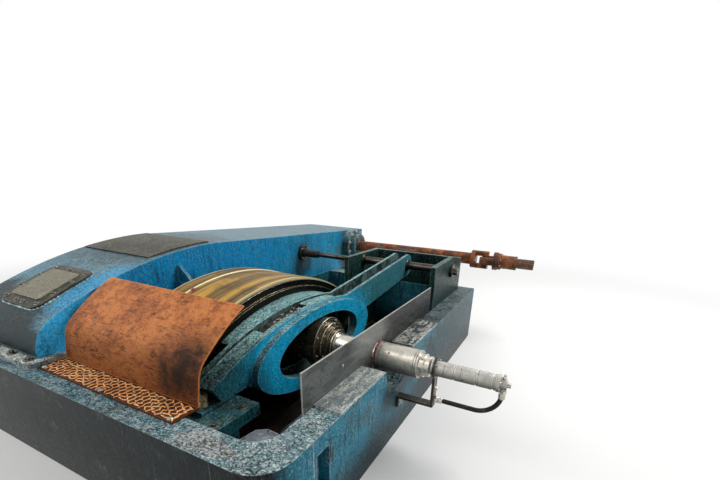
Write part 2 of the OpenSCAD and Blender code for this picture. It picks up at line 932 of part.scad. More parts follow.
// Reach of the corner plate along each wall, and the cut of its free edge
plate_along = 60;
plate_reach = 30;
edge_cut = 20;
edge_rise = 10;
edge_fall = 20;

module corner_plate() {
  far_edge = fillet_r + plate_reach;
  color("lightgray") translate([post_x, near_in, rim_h - plate_drop]) linear_extrude(sheet_t)
    difference() {
      polygon([[-plate_along, 0], [fillet_r, 0], [fillet_r, far_edge],
               [0, far_edge + edge_rise], [edge_cut - plate_along, far_edge - edge_fall]]);
      fillet_outline(seat_gap);
    }
}

module oil_deflector() {
  low = rim_h - deflector_drop - deflector_r;
  color("gray") translate([side_in, -deflector_near + deflector_len, low]) rotate([90, 0, 0])
    linear_extrude(deflector_len)
      polygon(concat(arc(0, 0, deflector_r, 180, 90), arc(0, 0, deflector_r - sheet_t, 90, 180)));
}

// Pivot bracket at the far end
cheek_x1 = side_in;
cheek_x0 = cheek_x1 - cheek_t;
left_x0 = side_in - bracket_w;
left_x1 = left_x0 + cheek_t;
cheek_back = 140;
cheek_root = cheek_front - cheek_back;
cheek_slope = 60;
cheek_fall = 12;
head_rim = 22;
head_r = pin_r + head_rim;
head_len = 22;
nut_step = 8;
nut_r = pin_r - nut_step;
nut_len = 60;

module pivot_side_cheek() {
  color("darkslategray") difference() {
    along_x(cheek_x0, cheek_x1)
      polygon([[cheek_root, pan_t], [far_in, pan_t], [far_in, rim_h + back_h],
               [pin_y + cheek_slope, rim_h + cheek_h], [cheek_root, rim_h + cheek_h - cheek_fall]]);
    rod_x(cheek_x0 - 1, cheek_x1 + 1, pin_y, pin_z, pin_r);
  }
}

module pivot_left_cheek() {
  color("darkslategray") difference() {
    along_x(left_x0, left_x1)
      polygon([[cheek_front, pan_t], [far_in, pan_t], [far_in, rim_h + back_h],
               [cheek_front, rim_h + back_h]]);
    rod_x(left_x0 - 1, left_x1 + 1, pin_y, pin_z, pin_r);
  }
}

module pivot_back_plate() {
  color("darkslategray") block([left_x0, far_in, rim_h], [cheek_x1, far_in + cheek_t, rim_h + back_h]);
}

module pivot_pin() {
  color("dimgray") union() {
    rod_x(left_x0, side_in + eps, pin_y, pin_z, pin_r);
    rod_x(side_in, side_in + head_len, pin_y, pin_z, head_r);
    rod_x(side_in, side_in + nut_len, pin_y, pin_z, nut_r);
  }
}

near_wall();
corner_post();
side_wall();
far_wall();
end_wall();
housing_wall();
sump_pan();
near_wear_plate();
far_wear_plate();
tread_plate();
guard_sheet();
splash_plate();
gear_housing();
foot_flange();
inspection_cover();
cover_lid();
top_plate();
face_gusset();
rod_gland();
guide_rod();
drive_boss();
drive_shaft();
inner_fork();
joint_cross();
outer_fork();
drum_shell();
drum_near_cheek();
drum_far_cheek();
drum_seal_ring();
spindle_bearing();
spindle_shaft();
spindle_hub();
spindle_sleeve();
clamp_ring();
rotary_joint();
joint_cap();
torque_strap();
return_hose();
bridge_rear_plate();
bridge_front_plate();
bridge_web();
bridge_lip();
load_cell();
near_foot();
corner_plate();
oil_deflector();
pivot_side_cheek();
pivot_left_cheek();
pivot_back_plate();
pivot_pin();
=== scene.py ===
"""Looks of the coiler stand of a rolling mill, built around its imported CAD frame."""
import logging
import math
import random
from abc import ABC, abstractmethod
from dataclasses import dataclass, field
from enum import Enum
from functools import cache
from typing import Callable, Sequence

import bmesh
import bpy
from mathutils import Matrix, Vector, noise


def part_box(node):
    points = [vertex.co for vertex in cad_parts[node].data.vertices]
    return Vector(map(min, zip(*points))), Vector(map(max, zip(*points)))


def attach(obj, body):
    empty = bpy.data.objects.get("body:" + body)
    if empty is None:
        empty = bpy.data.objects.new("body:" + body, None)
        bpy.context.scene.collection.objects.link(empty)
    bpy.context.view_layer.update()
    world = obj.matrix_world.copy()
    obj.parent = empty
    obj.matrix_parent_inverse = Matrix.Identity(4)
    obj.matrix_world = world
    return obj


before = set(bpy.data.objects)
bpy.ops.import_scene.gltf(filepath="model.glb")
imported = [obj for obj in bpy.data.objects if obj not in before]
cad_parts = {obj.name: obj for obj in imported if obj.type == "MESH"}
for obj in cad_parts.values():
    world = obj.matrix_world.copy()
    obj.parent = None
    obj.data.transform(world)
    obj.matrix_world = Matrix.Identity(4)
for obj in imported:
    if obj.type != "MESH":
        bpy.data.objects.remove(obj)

logging.basicConfig(level=logging.INFO, format="%(name)s: %(message)s")
LOG = logging.getLogger("coiler_stand")

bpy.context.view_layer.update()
Colour = tuple[float, float, float]
Spot = tuple[float, float, float]
Pair = tuple[float, float]
Pairs = Sequence[Pair]

# Sockets of a Mix node in its colour mode.
MIX_UNDER, MIX_OVER, MIX_OUT = 6, 7, 2
# Middle of a noise that runs from 0 to 1.
NOISE_MIDDLE = 0.5
# Where the edge mask and the facing mask begin and are full.
EDGE_RISE = (0.004, 0.16)
FACING_RISE = (0.2, 0.7)
# How far broad and fine noise push a zone's border, and the colour sum of a dark zone.
BROAD_FRAY, FINE_FRAY = 2.2, 1.2
DARK_ZONE = 0.3
# Samples of the Bevel nodes for edge masks and for rounded edges.
EDGE_SAMPLES, ROUND_SAMPLES = 6, 4
# How far a head or ring sinks into what carries it, in metres.
SINK = 0.0004
# A socket head's profile, by shares of its radius and its height.
SOCKET_HEAD = ((1.0, 0.0), (1.0, 0.86), (0.9, 1.0), (0.56, 1.0), (0.52, 0.5), (0.0, 0.5))


def tone(red: int, green: int, blue: int) -> Colour:
    """Turns a colour as a display shows it into linear light.

    Args:
        red: display red from 0 to 255.
        green: display green from 0 to 255.
        blue: display blue from 0 to 255.

    Returns:
        The linear colour that a shader socket takes.
    """
    def linear(value: float) -> float:
        """Linear light of one display value, by the sRGB curve."""
        return value / 12.92 if value <= 0.04045 else ((value + 0.055) / 1.055) ** 2.4
    return (linear(red / 255), linear(green / 255), linear(blue / 255))


def darker(colour: Colour, share: float) -> Colour:
    """A colour with that share of its light."""
    return tuple(min(1.0, channel * share) for channel in colour)


class Axis(Enum):
    """Directions that fasteners and rings stand along."""

    X = (1.0, 0.0, 0.0)
    BACK_X = (-1.0, 0.0, 0.0)
    Y = (0.0, 1.0, 0.0)
    BACK_Y = (0.0, -1.0, 0.0)
    Z = (0.0, 0.0, 1.0)
    DOWN = (0.0, 0.0, -1.0)

    @property
    def vector(self) -> Vector:
        """The direction as a vector."""
        return Vector(self.value)


@dataclass(frozen=True)
class Zone:
    """A region round a point where a surface takes another colour.

    Most zones are stains, wipes and scrapes; those marked where they are listed are painted
    shade, painted highlights and a painted reflection.
    """

    at: Spot
    reach: Spot
    colour: Colour
    strength: float = 0.9
    soft: float = 0.5
    ragged: float = 0.5
    facing: Spot | None = None


# ---------------------------------------------------------------- shader maths


class Value:
    """A socket of a node tree that takes part in expressions."""

    def __init__(self, graph: "Graph", socket: bpy.types.NodeSocket) -> None:
        """Wraps a socket of the tree that graph builds."""
        self.graph = graph
        self.socket = socket

    def _math(self, operation: str, *terms: "Value | float") -> "Value":
        """The result of a Math node with these inputs in order."""
        values = dict(enumerate(terms))
        return self.graph.node("Math", {"operation": operation}, values)

    def __add__(self, other: "Value | float") -> "Value":
        """Sum."""
        return self._math("ADD", self, other)

    __radd__ = __add__

    def __sub__(self, other: "Value | float") -> "Value":
        """Difference."""
        return self._math("SUBTRACT", self, other)

    def __rsub__(self, other: float) -> "Value":
        """Difference from a number."""
        return self._math("SUBTRACT", other, self)

    def __mul__(self, other: "Value | float") -> "Value":
        """Product."""
        return self._math("MULTIPLY", self, other)

    __rmul__ = __mul__

    def __truediv__(self, other: "Value | float") -> "Value":
        """Quotient."""
        return self._math("DIVIDE", self, other)

    def __abs__(self) -> "Value":
        """Size without its sign."""
        return self._math("ABSOLUTE", self)

    def at_least(self, other: "Value | float") -> "Value":
        """The larger of two values."""
        return self._math("MAXIMUM", self, other)

    def at_most(self, other: "Value | float") -> "Value":
        """The smaller of two values."""
        return self._math("MINIMUM", self, other)

    def swing(self, amount: float) -> "Value":
        """Swing of a noise round 0, its distance from its middle times an amount."""
        return (self - NOISE_MIDDLE) * amount

    def step(self, low: float, high: float) -> "Value":
        """Smooth step from 0 at low to 1 at high."""
        limits = {"Value": self, "From Min": low, "From Max": high}
        return self.graph.node("MapRange", {"interpolation_type": "SMOOTHSTEP"}, limits)


class Graph:
    """The node tree of a material or a world under construction."""

    def __init__(self, owner: bpy.types.Material | bpy.types.World) -> None:
        """Gives a material or a world an empty node tree.

        Args:
            owner: the material or world.
        """
        owner.use_nodes = True
        self.tree = owner.node_tree
        self.tree.nodes.clear()

    def node(self, kind: str, settings: dict, values: dict, output: str | int = 0) -> Value:
        """Adds a node.

        Args:
            kind: the node's type name after ShaderNode.
            settings: its properties.
            values: numbers, colours or Values by socket name or number.
            output: which output is wanted.

        Returns:
            That output as a Value.
        """
        made = self.tree.nodes.new("ShaderNode" + kind)
        for key, setting in settings.items():
            setattr(made, key, setting)
        for key, value in values.items():
            socket = made.inputs[key]
            if isinstance(value, Value):
                self.tree.links.new(value.socket, socket)
            elif isinstance(value, tuple) and socket.type == "RGBA":
                socket.default_value = (*value, 1.0)
            else:
                socket.default_value = value
        return Value(self, made.outputs[output])

    def show(self, kind: str, surface: Value) -> None:
        """Links a shader to a new output node of that kind."""
        output = self.tree.nodes.new("ShaderNode" + kind)
        self.tree.links.new(surface.socket, output.inputs["Surface"])

    def seen(self) -> Value:
        """Mask that is 1 for camera, glossy and transmission rays, which see the background."""
        camera, gloss, clear = (self.node("LightPath", {}, {}, f"Is {kind} Ray")
                                for kind in ("Camera", "Glossy", "Transmission"))
        return camera.at_least(gloss).at_least(clear)


class Shade(Graph):
    """One node material under construction."""

    def __init__(self, name: str) -> None:
        """Makes an empty node material with that name."""
        self.material = bpy.data.materials.new(name)
        super().__init__(self.material)

    def place(self, stretch: Spot = (1.0, 1.0, 1.0), shift: Spot = (0.0, 0.0, 0.0)) -> Value:
        """Position on the object in metres, stretched along each axis and then shifted."""
        spot = self.node("TexCoord", {}, {}, "Object")
        return self.node("Mapping", {}, {"Vector": spot, "Scale": stretch, "Location": shift})

    def along(self, source: Value, axis: int) -> Value:
        """One coordinate of a vector, with 0 for x, 1 for y and 2 for z."""
        return self.node("SeparateXYZ", {}, {0: source}, axis)

    def measure(self, operation: str, *vectors: Value | Spot) -> Value:
        """The number that a Vector Math node gives for vectors in order."""
        settings = {"operation": operation}
        return self.node("VectorMath", settings, dict(enumerate(vectors)), "Value")

    def facing(self, direction: Spot) -> Value:
        """How far the surface faces a direction, from -1 to 1."""
        normal = self.node("TexCoord", {}, {}, "Normal")
        return self.measure("DOT_PRODUCT", normal, direction)

    def length(self, vector: Value) -> Value:
        """Length of a vector."""
        return self.measure("LENGTH", vector)

    def distance(self, where: Value, point: Spot) -> Value:
        """Distance of a position from a fixed point."""
        return self.measure("DISTANCE", where, point)

    def noise(self, where: Value, scale: float, detail: float = 4.0, rough: float = 0.55,
              twist: float = 0.0) -> Value:
        """Noise from 0 to 1 by its spots per metre, octaves, their strength and distortion."""
        return self.node("TexNoise", {}, {"Vector": where, "Scale": scale, "Detail": detail,
                                          "Roughness": rough, "Distortion": twist}, "Fac")

    def cells(self, where: Value, scale: float) -> Value:
        """Distance from the middles of scattered cells, by cells per metre."""
        values = {"Vector": where, "Scale": scale}
        return self.node("TexVoronoi", {}, values, "Distance")

    def cracks(self, source: Value, width: float) -> Value:
        """Thin winding lines, within a width of where a noise passes its middle."""
        return (1.0 - abs(source - NOISE_MIDDLE) / width).at_least(0.0)

    def blend(self, mask: Value | float, under: Value | Colour, over: Value | Colour) -> Value:
        """Colour mix, where a mask of 0 keeps under and 1 gives over."""
        values = {"Factor": mask, MIX_UNDER: under, MIX_OVER: over}
        return self.node("Mix", {"data_type": "RGBA"}, values, MIX_OUT)

    def lit(self, colour: Value, light: Value) -> Value:
        """A colour made lighter or darker by a factor around 1."""
        values = {"Factor": 1.0, MIX_UNDER: colour, MIX_OVER: light}
        return self.node("Mix", {"data_type": "RGBA", "blend_type": "MULTIPLY"}, values, MIX_OUT)

    def edges(self, width: float) -> Value:
        """Mask of convex and concave edges, 1 right at the edge.

        Args:
            width: how far from the edge it reaches, in metres.

        Returns:
            The mask.
        """
        round_normal = self.node("Bevel", {"samples": EDGE_SAMPLES}, {"Radius": width})
        true_normal = self.node("NewGeometry", {}, {}, "True Normal")
        match = self.measure("DOT_PRODUCT", round_normal, true_normal)
        return (1.0 - match).step(*EDGE_RISE)

    def inside(self, zone: Zone, cloud: Value, fine: Value) -> Value:
        """Mask of a zone with a ragged border.

        Args:
            zone: the region.
            cloud: broad noise that bends its border.
            fine: fine noise that frays its border.

        Returns:
            The mask, already at the zone's strength.
        """
        stretch = tuple(1.0 / reach for reach in zone.reach)
        shift = tuple(-place / reach for place, reach in zip(zone.at, zone.reach))
        away = self.length(self.place(stretch, shift))
        fray = cloud.swing(BROAD_FRAY * zone.ragged) + fine.swing(FINE_FRAY * zone.ragged)
        mask = (1.0 - away + fray).step(-zone.soft / 2, zone.soft / 2) * zone.strength
        if zone.facing is not None:
            mask = mask * self.facing(zone.facing).step(*FACING_RISE)
        return mask

    def relief(self, height: Value, depth: float, strength: float = 1.0,
               round_edge: float = 0.0) -> Value:
        """Bump normal.

        Args:
            height: the height pattern.
            depth: metres of relief for a height of 1.
            strength: share of the relief that is used.
            round_edge: radius by which sharp edges look rounded.

        Returns:
            The normal.
        """
        values = {"Height": height, "Distance": depth, "Strength": strength}
        if round_edge:
            values["Normal"] = self.node("Bevel", {"samples": ROUND_SAMPLES},
                                         {"Radius": round_edge})
        return self.node("Bump", {}, values)

    def surface(self, colour: Value, rough: Value | float, metal: Value | float,
                **others: Value | float) -> Value:
        """Makes the surface.

        Args:
            colour: base colour.
            rough: roughness.
            metal: metallic share.
            others: further inputs by socket name with underscores for spaces.

        Returns:
            The shader.
        """
        values = {"Base Color": colour, "Roughness": rough, "Metallic": metal}
        values |= {name.replace("_", " "): value for name, value in others.items()}
        return self.node("BsdfPrincipled", {}, values)

    def shown(self, surface: Value) -> bpy.types.Material:
        """The material with a shader on its output."""
        self.show("OutputMaterial", surface)
        return self.material


# ------------------------------------------------------------------- finishes

# In the recipes a noise takes spots per metre, a step takes where a mask begins and where it
# is full, and the factors are shares of a layer.

UP: Spot = (0.0, 0.0, 1.0)
DOWN: Spot = (0.0, 0.0, -1.0)
NEAR: Spot = (0.0, -1.0, 0.0)
OUT: Spot = (1.0, 0.0, 0.0)


class Finish(ABC):
    """A named finish, whose relief has a depth and whose edges and glare have a measure."""

    name: str
    depth: float
    glare: float
    rounded: float = 0.0

    @abstractmethod
    def build(self) -> bpy.types.Material:
        """Makes the material."""

    def coat(self, shade: Shade, colour: Value, rough: Value, metal: Value | float,
             height: Value, strength: float = 1.0, **others: Value | float) -> bpy.types.Material:
        """The material with a height pattern as a relief of that strength."""
        normal = shade.relief(height, self.depth, strength, self.rounded)
        return shade.shown(shade.surface(colour, rough, metal, Normal=normal,
                                         Specular_IOR_Level=self.glare, **others))


@dataclass(frozen=True)
class WornPaint(Finish):
    """Old machine paint with chips, scuffed edges, fine cracks, flecks and oily dirt.

    The colours are the paint and its second tone, the bare metal, the dirt and the paint on
    upward faces, which is partly dust and partly painted light from above. wear to texture are
    shares. The paint also carries painted light and shade: bare metal on upward faces and edges
    is partly painted light from above and a painted highlight, the pale flecks are partly
    painted glints, and one share darkens what lies below a given height, partly as dirt and
    partly as painted shade.
    """

    name: str
    paint: Colour
    second: Colour
    bare: Colour
    dirt: Colour
    # Paint on upward faces: partly dust, partly painted light from above.
    top: Colour
    top_dust_and_light_share: float = 0.8
    wear: float = 0.42
    top_wear_and_light: float = 0.12
    grime: float = 0.35
    streaks: float = 0.5
    # Share of the flecks: the pale ones are partly chips and partly painted glints, the dark ones
    # dirt.
    flecks_and_glints: float = 0.4
    scars: float = 0.5
    texture: float = 1.5
    # Darkening below a height: partly dirt, partly painted shade.
    low_shade_and_dirt: float = 0.0
    low_shade_and_dirt_from: float = 0.46
    edge: float = 0.006
    gloss: float = 0.36
    varnish: float = 0.03
    varnish_rough: float = 0.16
    metallic: float = 0.1
    depth: float = 0.0042
    rounded: float = 0.003
    glare: float = 0.1
    zones: tuple[Zone, ...] = ()

    def build(self) -> bpy.types.Material:
        """Makes the material.

        Returns:
            The material.
        """
        shade = Shade(self.name)
        spot = shade.place()
        up = shade.facing(UP).step(0.25, 0.8)
        broad = shade.noise(spot, 2.1, detail=5, rough=0.6)
        patch = shade.noise(spot, 9.0, detail=6, rough=0.62, twist=0.3)
        grain = shade.noise(spot, 75.0, detail=5, rough=0.72)
        chips = shade.noise(spot, 26.0, detail=8, rough=0.72)
        flake = shade.noise(shade.place((1.0, 1.0, 1.0), (3.1, 1.7, 0.4)), 130.0,
                            detail=5, rough=0.75)
        drip = shade.noise(shade.place((11.0, 11.0, 1.3)), 2.6, detail=6, rough=0.66)
        edge = shade.edges(self.edge)
        base = shade.blend(broad.step(0.38, 0.64), self.paint, self.second)
        # Upward faces take the top colour: partly dust, partly painted light from above.
        base = shade.blend(up * self.top_dust_and_light_share, base, self.top)
        cover: Value | float = 0.0
        for zone in self.zones:
            mask = shade.inside(zone, patch, chips)
            base = shade.blend(mask, base, zone.colour)
            if sum(zone.colour) < DARK_ZONE:
                cover = mask if isinstance(cover, float) else cover.at_least(mask)
        base = shade.lit(base, 1.0 + grain.swing(self.texture) + chips.swing(0.9))
        # Bare metal shows through worn patches; on upward faces it is partly painted light from
        # above, and along edges partly a painted highlight.
        worn = patch * 0.5 + chips * 0.5 + up * self.top_wear_and_light + edge * 0.14
        worn = worn.step(0.96 - self.wear, 1.05 - self.wear)
        # Pale flecks, more on upward faces: partly chips, partly painted glints.
        light = (flake * 0.6 + grain * 0.4).step(0.53, 0.575) * (0.25 + up * 0.75) * self.flecks_and_glints
        scar = shade.cracks(drip, 0.012) * patch.step(0.42, 0.6) * (1.0 - up) * self.scars
        # Chipped edges are pale bare metal: partly wear, partly a painted highlight along edges.
        worn = (worn * 0.7 + edge * chips.step(0.36, 0.52) * 0.85 + light + scar).at_most(1.0)
        if isinstance(cover, Value):
            worn = worn * (1.0 - cover * 0.75)
        base = shade.blend(worn, base, self.bare)
        line = shade.cracks(patch, 0.014) * broad.step(0.4, 0.6)
        specks = (flake * 0.6 + grain * 0.4).step(0.53, 0.45) * (0.3 + up * 0.7) * self.flecks_and_glints
        run = (drip * 0.7 + grain * 0.3).step(0.52, 0.66) * (1.0 - up) * self.streaks
        muck = broad * 0.35 + patch * 0.4 + chips * 0.25
        muck = muck.step(0.6 - self.grime * 0.22, 0.7 - self.grime * 0.2)
        soil_and_low_shade = run + muck * (self.grime + 0.2) + specks * 0.85 + line * 0.8
        # Darker towards the bottom, below a height: partly dirt, partly painted shade.
        if self.low_shade_and_dirt:
            depth = (self.low_shade_and_dirt_from - shade.along(spot, 2) + broad.swing(0.3)).step(-0.06, 0.24)
            soil_and_low_shade = soil_and_low_shade.at_least(depth * self.low_shade_and_dirt)
        soil_and_low_shade = soil_and_low_shade.at_most(0.95)
        # The dirt colour over streaks, muck, specks and cracks, and over the low painted shade.
        base = shade.blend(soil_and_low_shade, base, self.dirt)
        rough = (self.gloss + worn * 0.22 + grain.swing(0.5) - soil_and_low_shade * 0.1).at_least(0.14)
        height = grain * 0.35 + chips * 0.45 - worn * 0.4 + soil_and_low_shade * 0.3
        return self.coat(shade, base, rough, worn * self.metallic, height,
                         Coat_Weight=self.varnish, Coat_Roughness=self.varnish_rough)


@dataclass(frozen=True)
class Machined(Finish):
    """Bright turned or ground steel with scratches, smears and dark oil.

    turned is the y and z of the axis that its rings go round, and mark is the colour of a
    band of paint between two places along x. The pale colour along edges is partly worn metal
    and partly a painted highlight, and the stain on downward faces is partly dirt and partly
    painted shade.
    """

    name: str
    metal: Colour
    stain: Colour
    rings: float = 260.0
    smear: float = 0.4
    rough: float = 0.3
    stretch: Spot = (1.0, 1.0, 1.0)
    # Pale colour of scuffs and edges: partly worn metal, partly a painted highlight along edges.
    scraped_and_glint: Colour | None = None
    mark: Colour | None = None
    mark_from: float = 0.0
    mark_to: float = 0.0
    turned: Pair | None = None
    grain: float = 0.7
    metallic: float = 0.88
    patches: float = 0.0
    # Stain on downward faces: partly dirt, partly painted shade.
    under: float = 0.0
    turning: float = 0.35
    rubbed: float = 0.006
    depth: float = 0.0006
    rounded: float = 0.0015
    glare: float = 0.3
    zones: tuple[Zone, ...] = ()

    def build(self) -> bpy.types.Material:
        """Makes the material.

        Returns:
            The material.
        """
        shade = Shade(self.name)
        spot = shade.place()
        if self.turned is None:
            fine = shade.noise(shade.place((self.rings, 6.0, 6.0)), 1.0, detail=3, rough=0.6)
        else:
            y, z = self.turned
            away = shade.length(shade.place((0.0, 1.0, 1.0), (0.0, -y, -z)))
            turned = {0: away * self.rings, 1: shade.along(spot, 0) * self.rings}
            fine = shade.noise(shade.node("CombineXYZ", {}, turned), 1.0, detail=3, rough=0.65)
        scratch = shade.noise(shade.place(self.stretch), 40.0, detail=6, rough=0.7)
        patch = shade.noise(spot, 13.0, detail=6, rough=0.65, twist=0.4)
        spotty = shade.noise(spot, 60.0, detail=5, rough=0.7)
        dark = (patch * 0.6 + spotty * 0.4).step(0.56 - self.smear * 0.2, 0.7 - self.smear * 0.1)
        colour = shade.blend(fine.step(0.4, 0.64) * self.turning, self.metal,
                             darker(self.metal, 0.5))
        for zone in self.zones:
            colour = shade.blend(shade.inside(zone, patch, spotty), colour, zone.colour)
        colour = shade.lit(colour, 1.0 + spotty.swing(self.grain) + scratch.swing(0.8))
        if self.patches and self.scraped_and_glint is not None:
            scuff = (patch * 0.45 + scratch * 0.25 + spotty * 0.3).step(0.495, 0.525)
            colour = shade.blend(scuff * self.patches, colour, self.scraped_and_glint)
        colour = shade.blend(dark * (0.35 + self.smear), colour, self.stain)
        line = shade.cracks(scratch, 0.016) * patch.step(0.4, 0.6)
        colour = shade.blend(line * 0.7, colour, self.stain)
        rough = (self.rough + scratch.swing(0.4) + dark * 0.2).at_least(0.12).at_most(0.9)
        metal: Value | float = self.metallic
        # Pale edges: partly worn metal, partly a painted highlight.
        if self.scraped_and_glint is not None:
            edge = shade.edges(self.rubbed) * spotty.step(0.34, 0.5)
            colour = shade.blend(edge * 0.9, colour, self.scraped_and_glint)
        if self.mark is not None:
            across = shade.along(spot, 0) + patch.swing(0.012)
            middle = (self.mark_from + self.mark_to) / 2
            half = (self.mark_to - self.mark_from) / 2
            paint = (1.0 - abs(across - middle) / half).step(0.0, 0.35) * spotty.step(0.34, 0.5)
            colour = shade.blend(paint * 0.9, colour, self.mark)
            metal = self.metallic - paint * 0.8
        # Darker on downward faces: partly dirt, partly painted shade.
        if self.under:
            low = shade.facing(DOWN).step(-0.35, 0.75) * (0.7 + spotty * 0.5)
            colour = shade.blend((low * self.under).at_most(0.9), colour, self.stain)
        height = fine * 0.12 + scratch * 0.4 + dark * 0.3
        return self.coat(shade, colour, rough, metal, height, 0.7)


@dataclass(frozen=True)
class OilyRoll(Finish):
    """Curved drum skin with golden oil film, circling bands and scratches.

    Its shadow colour is painted shadow, laid on by the bands, the film and the blots, and its
    bright lines round the band edges are painted highlights.
    """

    name: str
    gold: Colour
    shadow: Colour
    bright: Colour
    mark: Colour
    # Places along x of the painted highlight lines round the band edges.
    seams: tuple[float, ...] = (-0.7685, -1.151, -1.2545)
    highlight_line_narrow: float = 190.0
    mark_at: Spot = (-1.13, -0.32, 0.80)
    mark_size: float = 0.028
    metallic: float = 0.4
    depth: float = 0.0014
    rounded: float = 0.002
    glare: float = 0.15

    def build(self) -> bpy.types.Material:
        """Makes the material.

        Returns:
            The material.
        """
        shade = Shade(self.name)
        spot = shade.place()
        bands = shade.noise(shade.place((26.0, 0.6, 0.6)), 1.0, detail=5, rough=0.7)
        lines = shade.noise(shade.place((210.0, 1.4, 1.4)), 1.0, detail=4, rough=0.65)
        film = shade.noise(spot, 3.2, detail=5, rough=0.6, twist=0.8)
        blots = shade.noise(spot, 16.0, detail=7, rough=0.7)
        across = shade.along(spot, 0)
        # Painted shadow in the bands, the film and the blots.
        colour = shade.blend(bands.step(0.36, 0.6), self.shadow, self.gold)
        colour = shade.blend(film.step(0.46, 0.62) * 0.65, colour, self.shadow)
        colour = shade.lit(colour, 1.0 + lines.swing(1.5) + blots.swing(1.0))
        colour = shade.blend(lines.step(0.58, 0.72) * 0.5, colour, self.bright)
        colour = shade.blend(blots.step(0.58, 0.68) * 0.45, colour, self.shadow)
        # Painted highlight lines round the edges of the bands.
        for seam in self.seams:
            line = (1.0 - abs(across - seam) * self.highlight_line_narrow).at_least(0.0)
            colour = shade.blend(line * 0.95, colour, self.bright)
        near = (1.0 - shade.distance(spot, self.mark_at) / self.mark_size).step(0.0, 0.3)
        colour = shade.blend(near * blots.step(0.35, 0.5), colour, self.mark)
        rough = 0.24 + film * 0.2 + lines * 0.14
        height = bands * 0.35 + lines * 0.35 + blots * 0.3
        return self.coat(shade, colour, rough, self.metallic, height, 0.8)


@dataclass(frozen=True)
class SootyCopper(Finish):
    """Brown copper coloured sheet with scratches, soot and lighter bare spots.

    A painted glint runs along its edges.
    """

    name: str
    copper: Colour
    pale: Colour
    soot: Colour
    grey: Colour
    smoke_at: Spot = (-0.60, -0.86, 0.63)
    smoke_size: float = 0.25
    shade_low: float = 0.65
    low_from: float = 0.74
    # Share of the painted glint along the edges.
    rim: float = 0.85
    edge_glint_width: float = 0.007
    metallic: float = 0.12
    depth: float = 0.005
    rounded: float = 0.002
    glare: float = 0.1

    def build(self) -> bpy.types.Material:
        """Makes the material.

        Returns:
            The material.
        """
        shade = Shade(self.name)
        spot = shade.place()
        cloud = shade.noise(spot, 5.2, detail=7, rough=0.7, twist=0.3)
        mottle = shade.noise(spot, 24.0, detail=8, rough=0.74, twist=0.2)
        lines = shade.noise(shade.place((3.4, 15.0, 15.0)), 4.0, detail=8, rough=0.78, twist=0.3)
        spotty = shade.noise(spot, 70.0, detail=6, rough=0.78)
        away = shade.distance(spot, self.smoke_at)
        smoke = 1.0 - away / self.smoke_size + cloud.swing(2.0) + mottle.swing(0.9)
        smoke = smoke.step(0.0, 0.8)
        low = (self.low_from - shade.along(spot, 2)).step(-0.1, 0.24)
        colour = shade.blend((cloud * 0.6 + mottle * 0.4).step(0.42, 0.6), self.copper, self.pale)
        colour = shade.blend(low * self.shade_low, colour, darker(self.copper, 0.5))
        colour = shade.lit(colour, 1.0 + mottle.swing(1.3) + spotty.swing(1.2))
        colour = shade.blend(lines.step(0.55, 0.62) * 0.7, colour, self.soot)
        colour = shade.blend(shade.cracks(lines, 0.016) * 0.8, colour, darker(self.pale, 1.25))
        colour = shade.blend(spotty.step(0.56, 0.64) * 0.45, colour, self.soot)
        veil = (cloud * 0.5 + mottle * 0.5).step(0.53, 0.62)
        colour = shade.blend(veil * 0.5, colour, self.grey)
        colour = shade.blend(smoke * 0.95, colour, self.soot)
        # Painted glint along the sheet's edges.
        edge = shade.edges(self.edge_glint_width)
        colour = shade.blend(edge * self.rim, colour, darker(self.pale, 1.6))
        rough = 0.44 + cloud.swing(0.3) + spotty.swing(0.4) + smoke * 0.2
        height = cloud * 0.3 + mottle * 0.35 + lines * 0.2 + spotty * 0.25
        return self.coat(shade, colour, rough.at_least(0.2), self.metallic, height, 0.9)


@dataclass(frozen=True)
class RustyIron(Finish):
    """Rusted forged iron with orange bloom and dark oily hollows."""

    name: str
    rust: Colour
    bloom: Colour
    dark: Colour
    oil: float = 0.7
    edge: float = 0.004
    metallic: float = 0.1
    depth: float = 0.0036
    rounded: float = 0.002
    glare: float = 0.3

    def build(self) -> bpy.types.Material:
        """Makes the material.

        Returns:
            The material.
        """
        shade = Shade(self.name)
        spot = shade.place()
        cloud = shade.noise(spot, 9.0, detail=7, rough=0.68, twist=0.4)
        pits = shade.noise(spot, 60.0, detail=6, rough=0.75)
        crust = shade.cells(spot, 70.0)
        colour = shade.blend(cloud.step(0.42, 0.6), self.rust, self.bloom)
        colour = shade.lit(colour, 1.0 + pits.swing(1.8))
        colour = shade.blend(pits.step(0.52, 0.64) * 0.75, colour, self.dark)
        oily = shade.noise(spot, 4.0, detail=5, rough=0.65).step(0.46, 0.62) * self.oil
        colour = shade.blend(oily, colour, self.dark)
        rubbed = shade.edges(self.edge) * pits.step(0.3, 0.5) * 0.6
        colour = shade.blend(rubbed, colour, darker(self.bloom, 1.8))
        rough = 0.7 - oily * 0.9 + pits * 0.15
        height = pits * 0.6 + crust * 0.4
        return self.coat(shade, colour, rough.at_least(0.2), self.metallic, height, 0.9)


